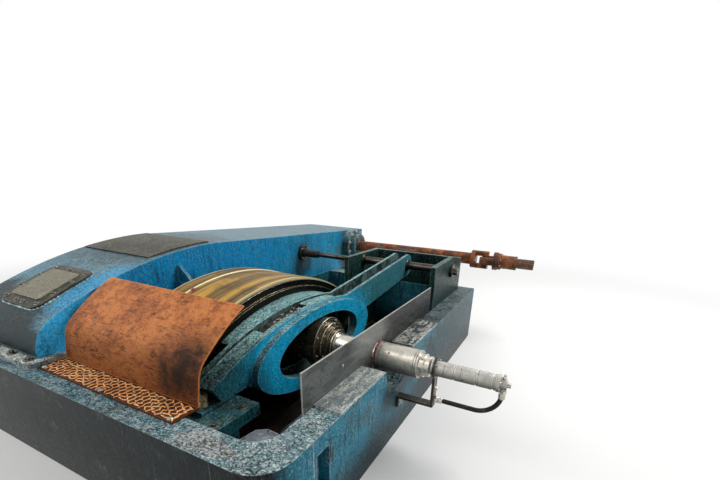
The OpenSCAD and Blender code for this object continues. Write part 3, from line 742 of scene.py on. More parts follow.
@dataclass(frozen=True)
class DullSheet(Finish):
    """Thin grey sheet with wiped smears, scratches and pale sheared edges.

    The pale edges are partly bare metal and partly a painted highlight.
    """

    name: str
    grey: Colour
    smear: Colour
    # Pale colour of scratches and edges: the edges partly bare metal, partly a painted highlight.
    cut_and_glint: Colour
    zones: tuple[Zone, ...] = ()
    edge: float = 0.004
    metallic: float = 0.08
    depth: float = 0.0014
    glare: float = 0.12

    def build(self) -> bpy.types.Material:
        """Makes the material.

        Returns:
            The material.
        """
        shade = Shade(self.name)
        spot = shade.place()
        wipe = shade.noise(shade.place((1.0, 1.6, 6.0)), 3.0, detail=7, rough=0.66, twist=0.6)
        grain = shade.noise(spot, 70.0, detail=6, rough=0.7)
        blots = shade.noise(spot, 11.0, detail=7, rough=0.7)
        colour = shade.blend(wipe.step(0.4, 0.64), self.grey, self.smear)
        for zone in self.zones:
            colour = shade.blend(shade.inside(zone, wipe, blots), colour, zone.colour)
        colour = shade.lit(colour, 1.0 + grain.swing(0.9) + blots.swing(0.6))
        colour = shade.blend(shade.cracks(wipe, 0.008) * 0.2, colour, self.cut_and_glint)
        colour = shade.blend(blots.step(0.6, 0.66) * 0.4, colour, darker(self.grey, 0.3))
        # Pale edges: partly bare metal, partly a painted highlight.
        colour = shade.blend(shade.edges(self.edge), colour, self.cut_and_glint)
        rough = 0.34 + wipe.swing(0.3) + grain.swing(0.4)
        height = grain * 0.5 + wipe
        return self.coat(shade, colour, rough.at_least(0.16), self.metallic, height, 0.8)


@dataclass(frozen=True)
class OilyDirt(Finish):
    """Cake of oil, scale and brown sludge."""

    name: str
    sludge: Colour
    brown: Colour
    film: Colour
    depth: float = 0.009
    glare: float = 0.3

    def build(self) -> bpy.types.Material:
        """Makes the material.

        Returns:
            The material.
        """
        shade = Shade(self.name)
        spot = shade.place()
        cloud = shade.noise(spot, 6.0, detail=6, rough=0.66, twist=0.5)
        lumps = shade.noise(spot, 46.0, detail=7, rough=0.74)
        pool = shade.noise(spot, 1.8, detail=3, rough=0.5).step(0.5, 0.56)
        colour = shade.blend(cloud.step(0.4, 0.62), self.sludge, self.brown)
        colour = shade.lit(colour, 1.0 + lumps.swing(2.0))
        colour = shade.blend(lumps.step(0.52, 0.64) * 0.6, colour, self.film)
        rough = 0.6 - pool * 0.45 + lumps.swing(0.5)
        height = lumps * (1.0 - pool * 0.9) + cloud * 0.4
        return self.coat(shade, colour, rough.at_least(0.1), 0.0, height)


@dataclass(frozen=True)
class HoseRubber(Finish):
    """Black hose cover with fine wrap marks and dust."""

    name: str
    black: Colour
    dust: Colour
    edge: float = 0.004
    depth: float = 0.001
    glare: float = 0.25

    def build(self) -> bpy.types.Material:
        """Makes the material.

        Returns:
            The material.
        """
        shade = Shade(self.name)
        spot = shade.place()
        dust = shade.noise(spot, 26.0, detail=7, rough=0.7)
        wrap = shade.noise(spot, 260.0, detail=2, rough=0.5)
        colour = shade.blend(dust.step(0.5, 0.7) * 0.6, self.black, self.dust)
        colour = shade.blend(shade.edges(self.edge) * 0.5, colour, self.dust)
        rough = 0.4 + dust * 0.25
        return self.coat(shade, colour, rough, 0.0, wrap, 0.8)


# Regions read from the photograph. Each gives its middle, its reach along x, y and z, its
# colour, its strength, the softness and raggedness of its border, and the way that the
# surface has to face. Some are painted shade and painted highlights, as marked at each.
RIM_ZONES = (
    # Near wall's outer face, nearly black: partly dirt, partly painted shadow.
    Zone((-1.1, -1.12, 0.2), (2.4, 0.2, 0.8), tone(11, 12, 10), 0.97, 0.3, 0.2, NEAR),
    Zone((-1.2, -1.03, 0.5), (0.95, 0.2, 0.1), tone(58, 92, 102), 0.6, 0.5, 0.4, UP),
    Zone((-0.12, -1.0, 0.5), (0.42, 0.34, 0.1), tone(150, 170, 172), 0.6, 0.7, 0.5, UP),
    Zone((-0.27, -1.04, 0.5), (0.15, 0.05, 0.05), tone(154, 146, 142), 0.85, 0.1, 0.5, UP),
    Zone((0.0, 1.2, 0.5), (0.5, 0.95, 0.2), tone(50, 54, 52), 0.86, 0.5, 0.5, UP),
    Zone((0.07, -0.45, 0.3), (0.1, 0.5, 0.22), tone(30, 124, 150), 0.7, 0.6, 0.6, OUT),
    Zone((0.07, 1.2, 0.25), (0.1, 0.9, 0.34), tone(24, 34, 34), 0.8, 0.6, 0.5, OUT),
    Zone((-0.02, 0.0, 0.34), (0.2, 0.26, 0.14), tone(30, 36, 36), 0.8, 0.5, 0.5),
)
HOUSING_ZONES = (
    # Bright azure at the near shoulder of the face: a painted highlight.
    Zone((-1.56, -0.72, 0.88), (0.14, 0.34, 0.17), tone(40, 160, 214), 0.85, 0.6, 0.5),
    # Near end of the housing, nearly black: partly oily dirt, partly painted shadow.
    Zone((-2.28, -1.0, 0.50), (0.84, 0.42, 0.40), tone(15, 25, 24), 0.97, 0.25, 0.3),
    Zone((-1.51, -0.1, 0.86), (0.06, 1.1, 0.30), tone(8, 132, 190), 0.75, 0.5, 0.5, OUT),
    Zone((-1.95, 0.0, 0.98), (0.55, 0.52, 0.2), tone(50, 54, 50), 0.7, 0.6, 0.6, UP),
    Zone((-1.9, 1.5, 0.98), (0.8, 0.9, 0.2), tone(104, 128, 134), 0.5, 0.6, 0.5, UP),
    Zone((-1.52, -0.4, 0.5), (0.1, 0.6, 0.2), tone(16, 52, 62), 0.7, 0.6, 0.5),
    # Bright azure strip down the face's near end, on the rounded corner: a painted highlight.
    Zone((-1.51, -0.86, 0.72), (0.06, 0.16, 0.40), tone(56, 176, 232), 0.97, 0.35, 0.25, OUT),
    Zone((-1.51, -0.74, 0.56), (0.05, 0.09, 0.17), tone(18, 40, 44), 0.9, 0.5, 0.3, OUT),
    Zone((-1.52, 1.24, 0.68), (0.1, 0.14, 0.16), tone(24, 34, 34), 0.8, 0.6, 0.6),
    Zone((-1.52, 2.2, 0.66), (0.2, 0.32, 0.3), tone(52, 74, 78), 0.75, 0.5, 0.5),
)
BRIDGE_ZONES = (
    # The rear plate's inner face between the plates, nearly black: partly dirt, partly painted
    # shade.
    Zone((-0.602, 0.2, 0.5), (0.012, 1.6, 0.6), tone(26, 24, 20), 0.94, 0.2, 0.1, OUT),
    Zone((-0.52, -0.78, 0.45), (0.3, 0.3, 0.22), tone(22, 60, 66), 0.6, 0.6, 0.5),
    Zone((-0.55, 1.1, 0.68), (0.045, 0.7, 0.1), tone(26, 30, 28), 0.85, 0.4, 0.4),
)
EYE_ZONES = (
    # Azure of the eye's face, made lighter than its paint: partly painted light.
    Zone((-0.46, 0.0, 0.53), (0.14, 0.62, 0.40), tone(0, 164, 210), 0.95, 0.5, 0.3, OUT),
    Zone((-0.48, -0.74, 0.42), (0.2, 0.24, 0.24), tone(24, 68, 78), 0.75, 0.6, 0.5),
    Zone((-0.48, 1.0, 0.74), (0.1, 0.6, 0.14), tone(60, 112, 122), 0.5, 0.6, 0.5),
)

FINISHES: dict[str, Finish] = {finish.name: finish for finish in (
    WornPaint("rim_teal", tone(14, 100, 122), tone(26, 126, 150), tone(206, 222, 222),
              tone(12, 18, 20), tone(98, 156, 168), wear=0.4, top_wear_and_light=0.1, grime=0.4,
              streaks=0.8, flecks_and_glints=0.95, low_shade_and_dirt=0.9, low_shade_and_dirt_from=0.28, zones=RIM_ZONES),
    WornPaint("wall_teal", tone(20, 76, 84), tone(28, 98, 108), tone(126, 166, 164),
              tone(16, 22, 22), tone(46, 88, 92), wear=0.36, grime=0.55, streaks=0.9,
              flecks_and_glints=0.55, low_shade_and_dirt=0.92, low_shade_and_dirt_from=0.34),
    WornPaint("housing_azure", tone(6, 104, 142), tone(14, 134, 174), tone(150, 196, 206),
              tone(34, 44, 46), tone(104, 138, 150), wear=0.34, top_wear_and_light=0.08, grime=0.3,
              streaks=0.6, flecks_and_glints=0.55, edge=0.01, zones=HOUSING_ZONES),
    WornPaint("boss_grey", tone(44, 92, 102), tone(70, 116, 124), tone(160, 176, 176),
              tone(26, 32, 32), tone(100, 128, 132), wear=0.4, grime=0.5, streaks=0.7,
              flecks_and_glints=0.6),
    WornPaint("bridge_teal", tone(20, 98, 106), tone(34, 128, 138), tone(168, 214, 212),
              tone(12, 20, 18), tone(66, 138, 144), top_dust_and_light_share=0.75, wear=0.5, grime=0.45,
              streaks=0.6, flecks_and_glints=1.0, texture=2.2, zones=BRIDGE_ZONES),
    WornPaint("eye_azure", tone(22, 92, 104), tone(36, 112, 124), tone(164, 204, 206),
              tone(12, 26, 28), tone(92, 150, 158), top_dust_and_light_share=0.85, wear=0.36, grime=0.26,
              streaks=0.3, flecks_and_glints=0.9, scars=0.2, texture=1.2, zones=EYE_ZONES),
    WornPaint("paint_lip", tone(60, 150, 170), tone(96, 180, 196), tone(200, 222, 222),
              tone(14, 20, 22), tone(120, 170, 178), wear=0.4, grime=0.5, flecks_and_glints=0.8),
    WornPaint("bracket_green", tone(5, 34, 32), tone(12, 52, 50), tone(150, 178, 166),
              tone(4, 8, 8), tone(60, 92, 88), wear=0.32, grime=0.5, streaks=0.7,
              flecks_and_glints=0.5),
    WornPaint("flange_grey", tone(74, 104, 114), tone(104, 132, 140), tone(226, 230, 222),
              tone(16, 18, 16), tone(150, 166, 168), wear=0.5, top_wear_and_light=0.2, grime=0.4,
              flecks_and_glints=1.0, texture=2.2),
    WornPaint("cover_olive", tone(58, 58, 50), tone(74, 74, 64), tone(126, 124, 110),
              tone(26, 26, 22), tone(68, 68, 59), wear=0.3, grime=0.3, streaks=0.2,
              flecks_and_glints=0.5, texture=1.2),
    WornPaint("lid_khaki", tone(112, 108, 90), tone(132, 127, 108), tone(170, 164, 144),
              tone(66, 62, 52), tone(124, 119, 101), wear=0.3, grime=0.25, streaks=0.1,
              flecks_and_glints=0.4, texture=1.0),
    WornPaint("plate_dark", tone(30, 31, 27), tone(48, 48, 41), tone(120, 118, 102),
              tone(10, 11, 9), tone(58, 58, 49), wear=0.44, grime=0.5, flecks_and_glints=1.0,
              texture=2.4),
    WornPaint("cell_beige", tone(132, 122, 88), tone(154, 144, 108), tone(190, 182, 152),
              tone(46, 42, 34), tone(150, 140, 108), wear=0.36, grime=0.45, flecks_and_glints=0.5),
    Machined("bright_steel", tone(214, 208, 196), tone(84, 78, 68), rough=0.24, smear=0.15),
    Machined("sleeve_steel", tone(196, 192, 180), tone(58, 52, 46), rough=0.34, smear=0.3,
             scraped_and_glint=tone(236, 232, 224), mark=tone(140, 28, 26), mark_from=-0.068,
             mark_to=-0.048, grain=0.9, turning=0.2, metallic=0.7, under=0.8),
    Machined("joint_alloy", tone(184, 182, 174), tone(58, 54, 48), rough=0.42, smear=0.15,
             scraped_and_glint=tone(240, 238, 230), grain=0.7, turning=0.15, metallic=0.5, under=0.95),
    Machined("wear_steel", tone(132, 144, 146), tone(24, 30, 32), rings=6.0, rough=0.34,
             smear=0.5, stretch=(1.0, 0.2, 1.0), scraped_and_glint=tone(214, 216, 208), grain=2.2,
             metallic=0.3, patches=0.95,
             zones=(Zone((0.0, 0.46, 0.51), (0.3, 0.5, 0.2), tone(50, 52, 50), 0.85),)),
    Machined("hub_bronze", tone(112, 102, 82), tone(20, 17, 12), rough=0.22, smear=0.1,
             scraped_and_glint=tone(222, 212, 186), turned=(0.0, 0.5), rings=150.0, grain=0.2,
             turning=0.5, rubbed=0.0025, depth=0.0002, metallic=0.75),
    Machined("oily_black", tone(34, 31, 26), tone(8, 7, 6), rough=0.2, smear=0.4,
             scraped_and_glint=tone(186, 174, 146), turned=(0.0, -0.465), rings=120.0),
    Machined("dark_steel", tone(74, 70, 64), tone(20, 18, 16), rough=0.3, smear=0.5,
             scraped_and_glint=tone(158, 152, 142)),
    Machined("sheet_grey", tone(112, 120, 128), tone(40, 44, 46), rings=4.0, rough=0.3,
             smear=0.6, scraped_and_glint=tone(206, 210, 214), metallic=0.5, patches=0.4, grain=1.4),
    Machined("bolt_steel", tone(158, 154, 144), tone(52, 46, 40), rings=30.0, rough=0.34,
             scraped_and_glint=tone(214, 208, 196)),
    OilyRoll("drum_gold", tone(184, 140, 40), tone(66, 48, 16), tone(252, 242, 200),
             tone(112, 26, 20)),
    SootyCopper("guard_copper", tone(134, 74, 36), tone(204, 126, 68), tone(26, 22, 18),
                tone(98, 78, 58)),
    # Very pale copper of the raised lozenges: partly their own colour, partly painted highlights.
    SootyCopper("tread_copper", tone(232, 132, 72), tone(255, 192, 132), tone(70, 40, 22),
                tone(150, 104, 74), smoke_size=0.02, shade_low=0.0, metallic=0.2, rim=0.25),
    SootyCopper("tread_dark", tone(44, 24, 14), tone(88, 48, 26), tone(12, 8, 6),
                tone(80, 62, 50), smoke_size=0.02, shade_low=0.0),
    RustyIron("rust_orange", tone(92, 54, 36), tone(154, 90, 52), tone(30, 23, 18)),
    DullSheet("splash_grey", tone(68, 72, 71), tone(92, 96, 94), tone(216, 216, 210),
              (Zone((-0.07, 0.85, 0.58), (0.2, 0.95, 0.5), tone(14, 15, 14), 0.92, 0.9, 0.4),
               # Lighter patch near the shaft: a painted reflection of the shaft.
               Zone((-0.07, -0.10, 0.64), (0.2, 0.2, 0.1), tone(150, 152, 148), 0.5, 0.9,
                    0.4))),
    DullSheet("scale_flakes_and_glint", tone(126, 122, 114), tone(164, 160, 150), tone(206, 202, 192)),
    OilyDirt("sump_dirt", tone(24, 20, 15), tone(50, 37, 25), tone(12, 10, 8)),
    OilyDirt("slot_crust", tone(26, 23, 19), tone(54, 48, 40), tone(12, 11, 9)),
    HoseRubber("hose_rubber", tone(20, 20, 21), tone(78, 76, 70)),
)}

NODE_FINISH: dict[str, str] = {node: finish for finish, nodes in {
    "rim_teal": "near_wall corner_post side_wall far_wall end_wall",
    "wall_teal": "housing_wall near_foot",
    "sump_dirt": "sump_pan",
    "wear_steel": "near_wear_plate far_wear_plate",
    "tread_dark": "tread_plate",
    "guard_copper": "guard_sheet",
    "splash_grey": "splash_plate",
    "housing_azure": "gear_housing face_gusset",
    "flange_grey": "foot_flange",
    "cover_olive": "inspection_cover",
    "lid_khaki": "cover_lid",
    "dark_steel": "rod_gland guide_rod joint_cross torque_strap pivot_pin",
    "boss_grey": "drive_boss",
    "rust_orange": "drive_shaft inner_fork outer_fork",
    "drum_gold": "drum_shell",
    "oily_black": "drum_near_cheek drum_far_cheek drum_seal_ring spindle_bearing",
    "bright_steel": "spindle_shaft clamp_ring",
    "hub_bronze": "spindle_hub",
    "sleeve_steel": "spindle_sleeve",
    "joint_alloy": "rotary_joint joint_cap",
    "hose_rubber": "return_hose",
    "bridge_teal": "bridge_rear_plate bridge_web bridge_lip",
    "eye_azure": "bridge_front_plate",
    "cell_beige": "load_cell",
    "bracket_green": "pivot_side_cheek pivot_left_cheek pivot_back_plate",
    "plate_dark": "top_plate",
    "sheet_grey": "corner_plate oil_deflector",
}.items() for node in nodes.split()}


@cache
def material(name: str) -> bpy.types.Material:
    """The material of a finish, made at its first use."""
    return FINISHES[name].build()


# ----------------------------------------------------------------- mesh pieces


def basis(axis: Vector) -> Matrix:
    """Rotation, as a 4 x 4 matrix, that turns +Z to an axis."""
    return axis.to_track_quat("Z", "Y").to_matrix().to_4x4()


def spaced(route: Sequence[Vector], step: float) -> list[Vector]:
    """Points at even distances along a route.

    Args:
        route: the points that it passes.
        step: the distance wanted.

    Returns:
        The new points, with both ends kept.
    """
    lengths = [(b - a).length for a, b in zip(route, route[1:])]
    count = max(4, round(sum(lengths) / step))
    gap = sum(lengths) / count
    points, leg, done = [route[0].copy()], 0, 0.0
    for i in range(1, count):
        target = i * gap
        while done + lengths[leg] < target:
            done += lengths[leg]
            leg += 1
        points.append(route[leg].lerp(route[leg + 1], (target - done) / lengths[leg]))
    points.append(route[-1].copy())
    return points


def round_about(axis: Vector, count: int, start: float = 0.0) -> list[Vector]:
    """Directions spread evenly round an axis.

    Args:
        axis: the axis.
        count: how many are wanted.
        start: share of a step by which the first is turned.

    Returns:
        The unit directions.
    """
    turn = basis(axis)
    angles = (math.tau * (i + start) / count for i in range(count))
    return [(turn @ Vector((math.cos(a), math.sin(a), 0.0))).normalized() for a in angles]


@dataclass(frozen=True)
class Bead:
    """Section of a rippled bead: its radius, its ripples' distance and their unevenness."""

    size: float
    step: float = 0.01
    uneven: float = 0.3


@dataclass(frozen=True)
class Ring:
    """A ring's place along its axis, its inner and outer radius and its width."""

    at: float
    inner: float
    outer: float
    width: float


@dataclass(frozen=True)
class BoltCircle:
    """Bolts spread evenly round an axis, each turned by a coordinate of its direction."""

    count: int
    radius: float
    flats: float
    start: float = 0.0
    turned_by: int = 1
    washer: bool = False


@dataclass(frozen=True)
class Crumbs:
    """Loose lumps on a bed of dirt, shaped by shares of their size along x, y and z."""

    count: int
    least: float
    spread: float
    shape: Spot
    first: int = 0
    power: int = 2

    def size(self, chance: random.Random) -> Vector:
        """Half sizes of the next lump."""
        size = self.least + self.spread * chance.random() ** self.power
        return Vector(size * share for share in self.shape)


@dataclass
class Piece:
    """One visible piece joined from many small shapes."""

    name: str
    finish: str
    body: str = "base"
    slot: str = ""
    smooth: float = 35.0
    mesh: bmesh.types.BMesh = field(default_factory=bmesh.new)

    def skin(self, rings: Sequence[Sequence[bmesh.types.BMVert]], loop: bool = False) -> None:
        """Joins rings of points with faces and closes both ends.

        Args:
            rings: rings of one point or of equally many points.
            loop: whether the last ring joins the first one, with no ends.
        """
        after = list(rings[1:]) + ([rings[0]] if loop else [])
        for low, high in zip(rings, after):
            size = max(len(low), len(high))
            for i in range(size):
                j = (i + 1) % size
                corners = [low[i % len(low)], low[j % len(low)], high[j % len(high)],
                           high[i % len(high)]]
                unique = list(dict.fromkeys(corners))
                if len(unique) > 2:
                    self.mesh.faces.new(unique)
        if not loop:
            for ring in (rings[0][::-1], rings[-1]):
                if len(ring) > 2:
                    self.mesh.faces.new(ring)

    def lathe(self, at: Vector, axis: Vector, profile: Pairs, sides: int = 24,
              turn: float = 0.0, loop: bool = False) -> None:
        """Adds a turned shape.

        Args:
            at: where its foot stands.
            axis: the direction it stands in.
            profile: pairs of radius and height from foot to top.
            sides: number of sides.
            turn: angle about its own axis.
            loop: whether the profile closes on itself, as a ring's does.
        """
        place = Matrix.Translation(at) @ basis(axis) @ Matrix.Rotation(turn, 4, "Z")
        rings = []
        for radius, height in profile:
            if radius < 1e-6:
                rings.append([self.mesh.verts.new(place @ Vector((0, 0, height)))])
                continue
            angles = (math.tau * i / sides for i in range(sides))
            rings.append([self.mesh.verts.new(
                place @ Vector((radius * math.cos(a), radius * math.sin(a), height)))
                for a in angles])
        self.skin(rings, loop)

    def ring(self, at: Vector, axis: Vector, inner: float, outer: float, width: float,
             sides: int = 48) -> None:
        """Adds a ring with rounded outer edges.

        Args:
            at: the middle of its foot.
            axis: the direction it stands in.
            inner: inner radius.
            outer: outer radius.
            width: its width along the axis.
            sides: number of sides.
        """
        edge = min(width, outer - inner) * 0.25
        profile = [(inner, 0.0), (outer - edge, 0.0), (outer, edge), (outer, width - edge),
                   (outer - edge, width), (inner, width)]
        self.lathe(at, axis, profile, sides, loop=True)

    def rings(self, origin: Vector, axis: Vector, rings: Sequence[Ring], sides: int = 48) -> None:
        """Adds rings along an axis, at places that count from the origin."""
        for ring in rings:
            self.ring(origin + axis * ring.at, axis, ring.inner, ring.outer, ring.width, sides)

    def bolt(self, at: Vector, axis: Vector, flats: float, turn: float = 0.3,
             washer: bool = True) -> None:
        """Adds a hexagon head with a chamfered top, on a washer.

        Args:
            at: where the washer lies.
            axis: the direction it stands in.
            flats: width across the flats.
            turn: angle about its own axis.
            washer: whether it has one.
        """
        direction = axis.normalized()
        base = at - direction * SINK
        if washer:
            disc = flats * 0.98
            self.lathe(base, direction,
                       [(disc, 0), (disc, flats * 0.12), (disc * 0.9, flats * 0.16)], 20)
            base = base + direction * flats * 0.15
        corner = flats / math.sqrt(3)
        top = flats * 0.64
        self.lathe(base, direction, [(corner, 0), (corner, top * 0.82), (corner * 0.84, top),
                                     (corner * 0.5, top * 1.03)], 6, turn)

    def bolts(self, centre: Vector, axis: Vector, row: BoltCircle) -> None:
        """Adds a circle of bolts round a centre, standing along the axis."""
        for out in round_about(axis, row.count, row.start):
            self.bolt(centre + out * row.radius, axis, row.flats, out[row.turned_by], row.washer)

    def cap_screw(self, at: Vector, axis: Vector, radius: float, height: float) -> None:
        """Adds a round screw head with a socket, of that radius and height."""
        profile = [(radius * share, height * rise) for share, rise in SOCKET_HEAD]
        self.lathe(at - axis.normalized() * SINK, axis.normalized(), profile, 16)

    def tube(self, route: Sequence[Vector], radius: Callable[[float], float],
             sides: int = 8) -> None:
        """Adds a closed tube along a route.

        Args:
            route: the points that it follows.
            radius: the radius as a function of the share of the way.
            sides: number of sides.
        """
        rings = []
        last = len(route) - 1
        normal = Vector((0, 0, 1))
        for i, point in enumerate(route):
            ahead = (route[min(i + 1, last)] - route[max(i - 1, 0)]).normalized()
            side = ahead.cross(normal)
            if side.length < 1e-4:
                side = ahead.cross(Vector((0, 1, 0)))
            side.normalize()
            normal = side.cross(ahead).normalized()
            size = radius(i / last)
            angles = (math.tau * k / sides for k in range(sides))
            rings.append([self.mesh.verts.new(
                point + size * (math.cos(a) * side + math.sin(a) * normal)) for a in angles])
        self.skin(rings)

    def seam(self, route: Sequence[Vector], bead: Bead) -> None:
        """Adds a rippled bead, such as a weld or a line of caked dirt, along a route.

        Args:
            route: the points that it passes.
            bead: its section.
        """
        points = spaced(route, bead.step)
        chance = random.Random(round(sum(points[0]) * 1000) + len(points))
        ripple = [bead.size * (1.0 + bead.uneven * ((i % 2) - 0.5)
                               + bead.uneven * (chance.random() - 0.5))
                  for i in range(len(points))]
        last = len(points) - 1
        self.tube(points, lambda share: ripple[round(share * last)], 6)

    def lump(self, at: Vector, size: Vector, seed: int, rough: float = 0.35,
             tilt: float = 0.0) -> None:
        """Adds an irregular lump.

        Args:
            at: its middle.
            size: its half sizes.
            seed: number that fixes its shape.
            rough: how uneven it is.
            tilt: how far it may lean, in radians.
        """
        chance = random.Random(seed)
        lean = (Matrix.Rotation(math.tau * chance.random(), 3, "Z")
                @ Matrix.Rotation(tilt * chance.random(), 3, "X"))
        made = bmesh.ops.create_icosphere(self.mesh, subdivisions=2, radius=1.0)
        for vert in made["verts"]:
            swell = 1.0 - rough * chance.random()
            vert.co = at + lean @ (Vector(vert.co[k] * size[k] for k in range(3)) * swell)

    def bed(self, rows: int, columns: int, top: Callable[[float, float], Vector],
            foot: Callable[[float, float], Vector]) -> None:
        """Adds a closed slab with a shaped top, such as a cake of dirt.

        Args:
            rows: number of cells along the first direction.
            columns: number of cells along the second direction.
            top: point of the top for two shares from 0 to 1.
            foot: point of the underside for two shares from 0 to 1.
        """
        sheets = [[[self.mesh.verts.new(point(i / rows, j / columns))
                    for j in range(columns + 1)] for i in range(rows + 1)]
                  for point in (top, foot)]
        for sheet, flip in zip(sheets, (1, -1)):
            for i in range(rows):
                for j in range(columns):
                    corners = (sheet[i][j], sheet[i + 1][j], sheet[i + 1][j + 1], sheet[i][j + 1])
                    self.mesh.faces.new(corners[::flip])
        rim = ([(i, 0) for i in range(rows)] + [(rows, j) for j in range(columns)]
               + [(i, columns) for i in range(rows, 0, -1)]
               + [(0, j) for j in range(columns, 0, -1)])
        for here, there in zip(rim, rim[1:] + rim[:1]):
            self.mesh.faces.new([sheets[k][i][j] for k, (i, j) in
                                 ((0, here), (1, here), (1, there), (0, there))])

    def bar(self, at: Vector, along: Vector, up: Vector, size: Spot, taper: float = 0.6) -> None:
        """Adds a bar whose top is smaller than its foot.

        Args:
            at: the middle of its foot.
            along: direction of its length.
            up: direction it stands in.
            size: length, width and height.
            taper: size of the top over that of the foot.
        """
        side = up.cross(along).normalized()
        length, width, height = size
        rings = []
        for rise, scale in ((0.0, 1.0), (height * 0.7, 1.0 - (1.0 - taper) * 0.4),
                            (height, taper)):
            half_l = length / 2 * (1 - (1 - scale) * width / length)
            half_w = width / 2 * scale
            rings.append([self.mesh.verts.new(at + along * (a * half_l) + side * (b * half_w)
                                              + up * rise)
                          for a, b in ((-1, -1), (1, -1), (1, 1), (-1, 1))])
        self.skin(rings)

    def done(self) -> bpy.types.Object:
        """Turns the gathered shapes into an object that rides on its body.

        Returns:
            The object.
        """
        bmesh.ops.recalc_face_normals(self.mesh, faces=self.mesh.faces)
        data = bpy.data.meshes.new(self.name)
        self.mesh.to_mesh(data)
        self.mesh.free()
        data.shade_smooth()
        data.set_sharp_from_angle(angle=math.radians(self.smooth))
        made = bpy.data.objects.new(self.name, data)
        bpy.context.scene.collection.objects.link(made)
        data.materials.append(material(self.finish))
        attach(made, self.body)
        LOG.info("%s: %d faces on %s", self.name, len(data.polygons), self.body)
        return made


# --------------------------------------------------------------- sub-assemblies


class CadSkin:
    """Gives every CAD node its finish."""

    def build(self) -> None:
        """Assigns the materials."""
        for node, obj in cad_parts.items():
            obj.data.materials.clear()
            obj.data.materials.append(material(NODE_FINISH[node]))
            LOG.info("%s: %s", node, NODE_FINISH[node])


@dataclass
class RimTrim:
    """Screws of the wear plates and the tread plate, the splash plate's hem and paint lips.

    The hem's pale finish is partly a painted highlight along the plate's edge.
    """

    inset: float = 0.03
    plate_rows: tuple[float, ...] = (0.1, 0.5, 0.9)
    tread_rows: tuple[float, ...] = (0.03, 0.5, 0.97)
    screw: float = 0.013
    sunk_by: float = 0.001
    sunk_head: Pairs = ((1.0, 0.0), (1.0, 0.0018), (0.9, 0.0026), (0.5, 0.0026),
                        (0.45, 0.0006), (0.0, 0.0006))
    dome: Pairs = ((0.013, 0.0), (0.013, 0.004), (0.009, 0.009), (0.0, 0.0105))
    hem_and_glint: Bead = Bead(0.0034, 0.02, 0.1)
    hem_in: float = 0.6
    splash_screws: Pairs = ((-0.62, 0.48), (-0.30, 0.475), (0.42, 0.478), (0.74, 0.48),
                            (-0.40, 0.60))
    splash_flats: float = 0.014
    end_lip: Bead = Bead(0.006, 0.012, 0.9)
    end_short: float = 0.004
    side_lip: Bead = Bead(0.0036, 0.013, 0.9)
    side_in: Spot = (0.002, 0.01, 0.001)

    def build(self) -> None:
        """Makes the pieces."""
        screws = Piece("wear_plate_screws", "bolt_steel", slot="wear_steel")
        for node in ("near_wear_plate", "far_wear_plate"):
            low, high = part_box(node)
            for share in self.plate_rows:
                for x in (low.x + self.inset, high.x - self.inset):
                    at = Vector((x, low.y + share * (high.y - low.y), high.z))
                    self.countersunk(screws, at)
        screws.done()
        low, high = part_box("tread_plate")
        tread = Piece("tread_plate_screws", "bolt_steel", slot="wear_steel")
        for share in self.tread_rows:
            at = Vector((low.x + share * (high.x - low.x), low.y + self.inset / 2, high.z))
            tread.lathe(at - Axis.Z.vector * SINK, Axis.Z.vector, self.dome, 16)
        tread.done()
        self.splash()
        self.paint_lips()

    def countersunk(self, piece: Piece, at: Vector) -> None:
        """Adds to a piece a flat screw head with a sunk socket at a point of a plate's face."""
        head = [(self.screw * share, rise) for share, rise in self.sunk_head]
        piece.lathe(at - Vector((0, 0, self.sunk_by)), Axis.Z.vector, head, 18)

    def splash(self) -> None:
        """Makes the splash plate's folded hem and its screws.

        The hem's pale finish is partly a painted highlight along the plate's edge.
        """
        low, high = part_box("splash_plate")
        x = (low.x + high.x) / 2
        # The hem's pale finish is partly a painted highlight along the plate's edge.
        hem_and_glint = Piece("splash_plate_hem_and_glint", "scale_flakes_and_glint", slot="splash_grey")
        inset = self.hem_and_glint.size * self.hem_in
        hem_and_glint.seam([Vector((x, low.y + inset, low.z)), Vector((x, low.y + inset, high.z - inset)),
                  Vector((x, high.y, high.z - inset))], self.hem_and_glint)
        hem_and_glint.done()
        screws = Piece("splash_plate_screws", "bolt_steel")
        for y, z in self.splash_screws:
            screws.bolt(Vector((high.x, y, z)), Axis.X.vector, self.splash_flats, y, washer=False)
        screws.done()

    def paint_lips(self) -> None:
        """Makes the thick paint along the wear plates' ends and outer sides."""
        lips = Piece("wear_plate_paint_lips", "paint_lip", slot="frame_teal", smooth=60.0)
        near_low, near_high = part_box("near_wear_plate")
        far_low, far_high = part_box("far_wear_plate")
        short = self.end_short
        for low, high, end in ((near_low, near_high, near_low.y), (far_low, far_high, far_high.y)):
            lips.seam([Vector((low.x + short, end, low.z)), Vector((high.x - short, end, low.z))],
                      self.end_lip)
        inset, short, drop = self.side_in
        for low, high in ((near_low, near_high), (far_low, far_high)):
            lips.seam([Vector((high.x - inset, low.y + short, low.z - drop)),
                       Vector((high.x - inset, high.y - short, low.z - drop))], self.side_lip)
        lips.done()


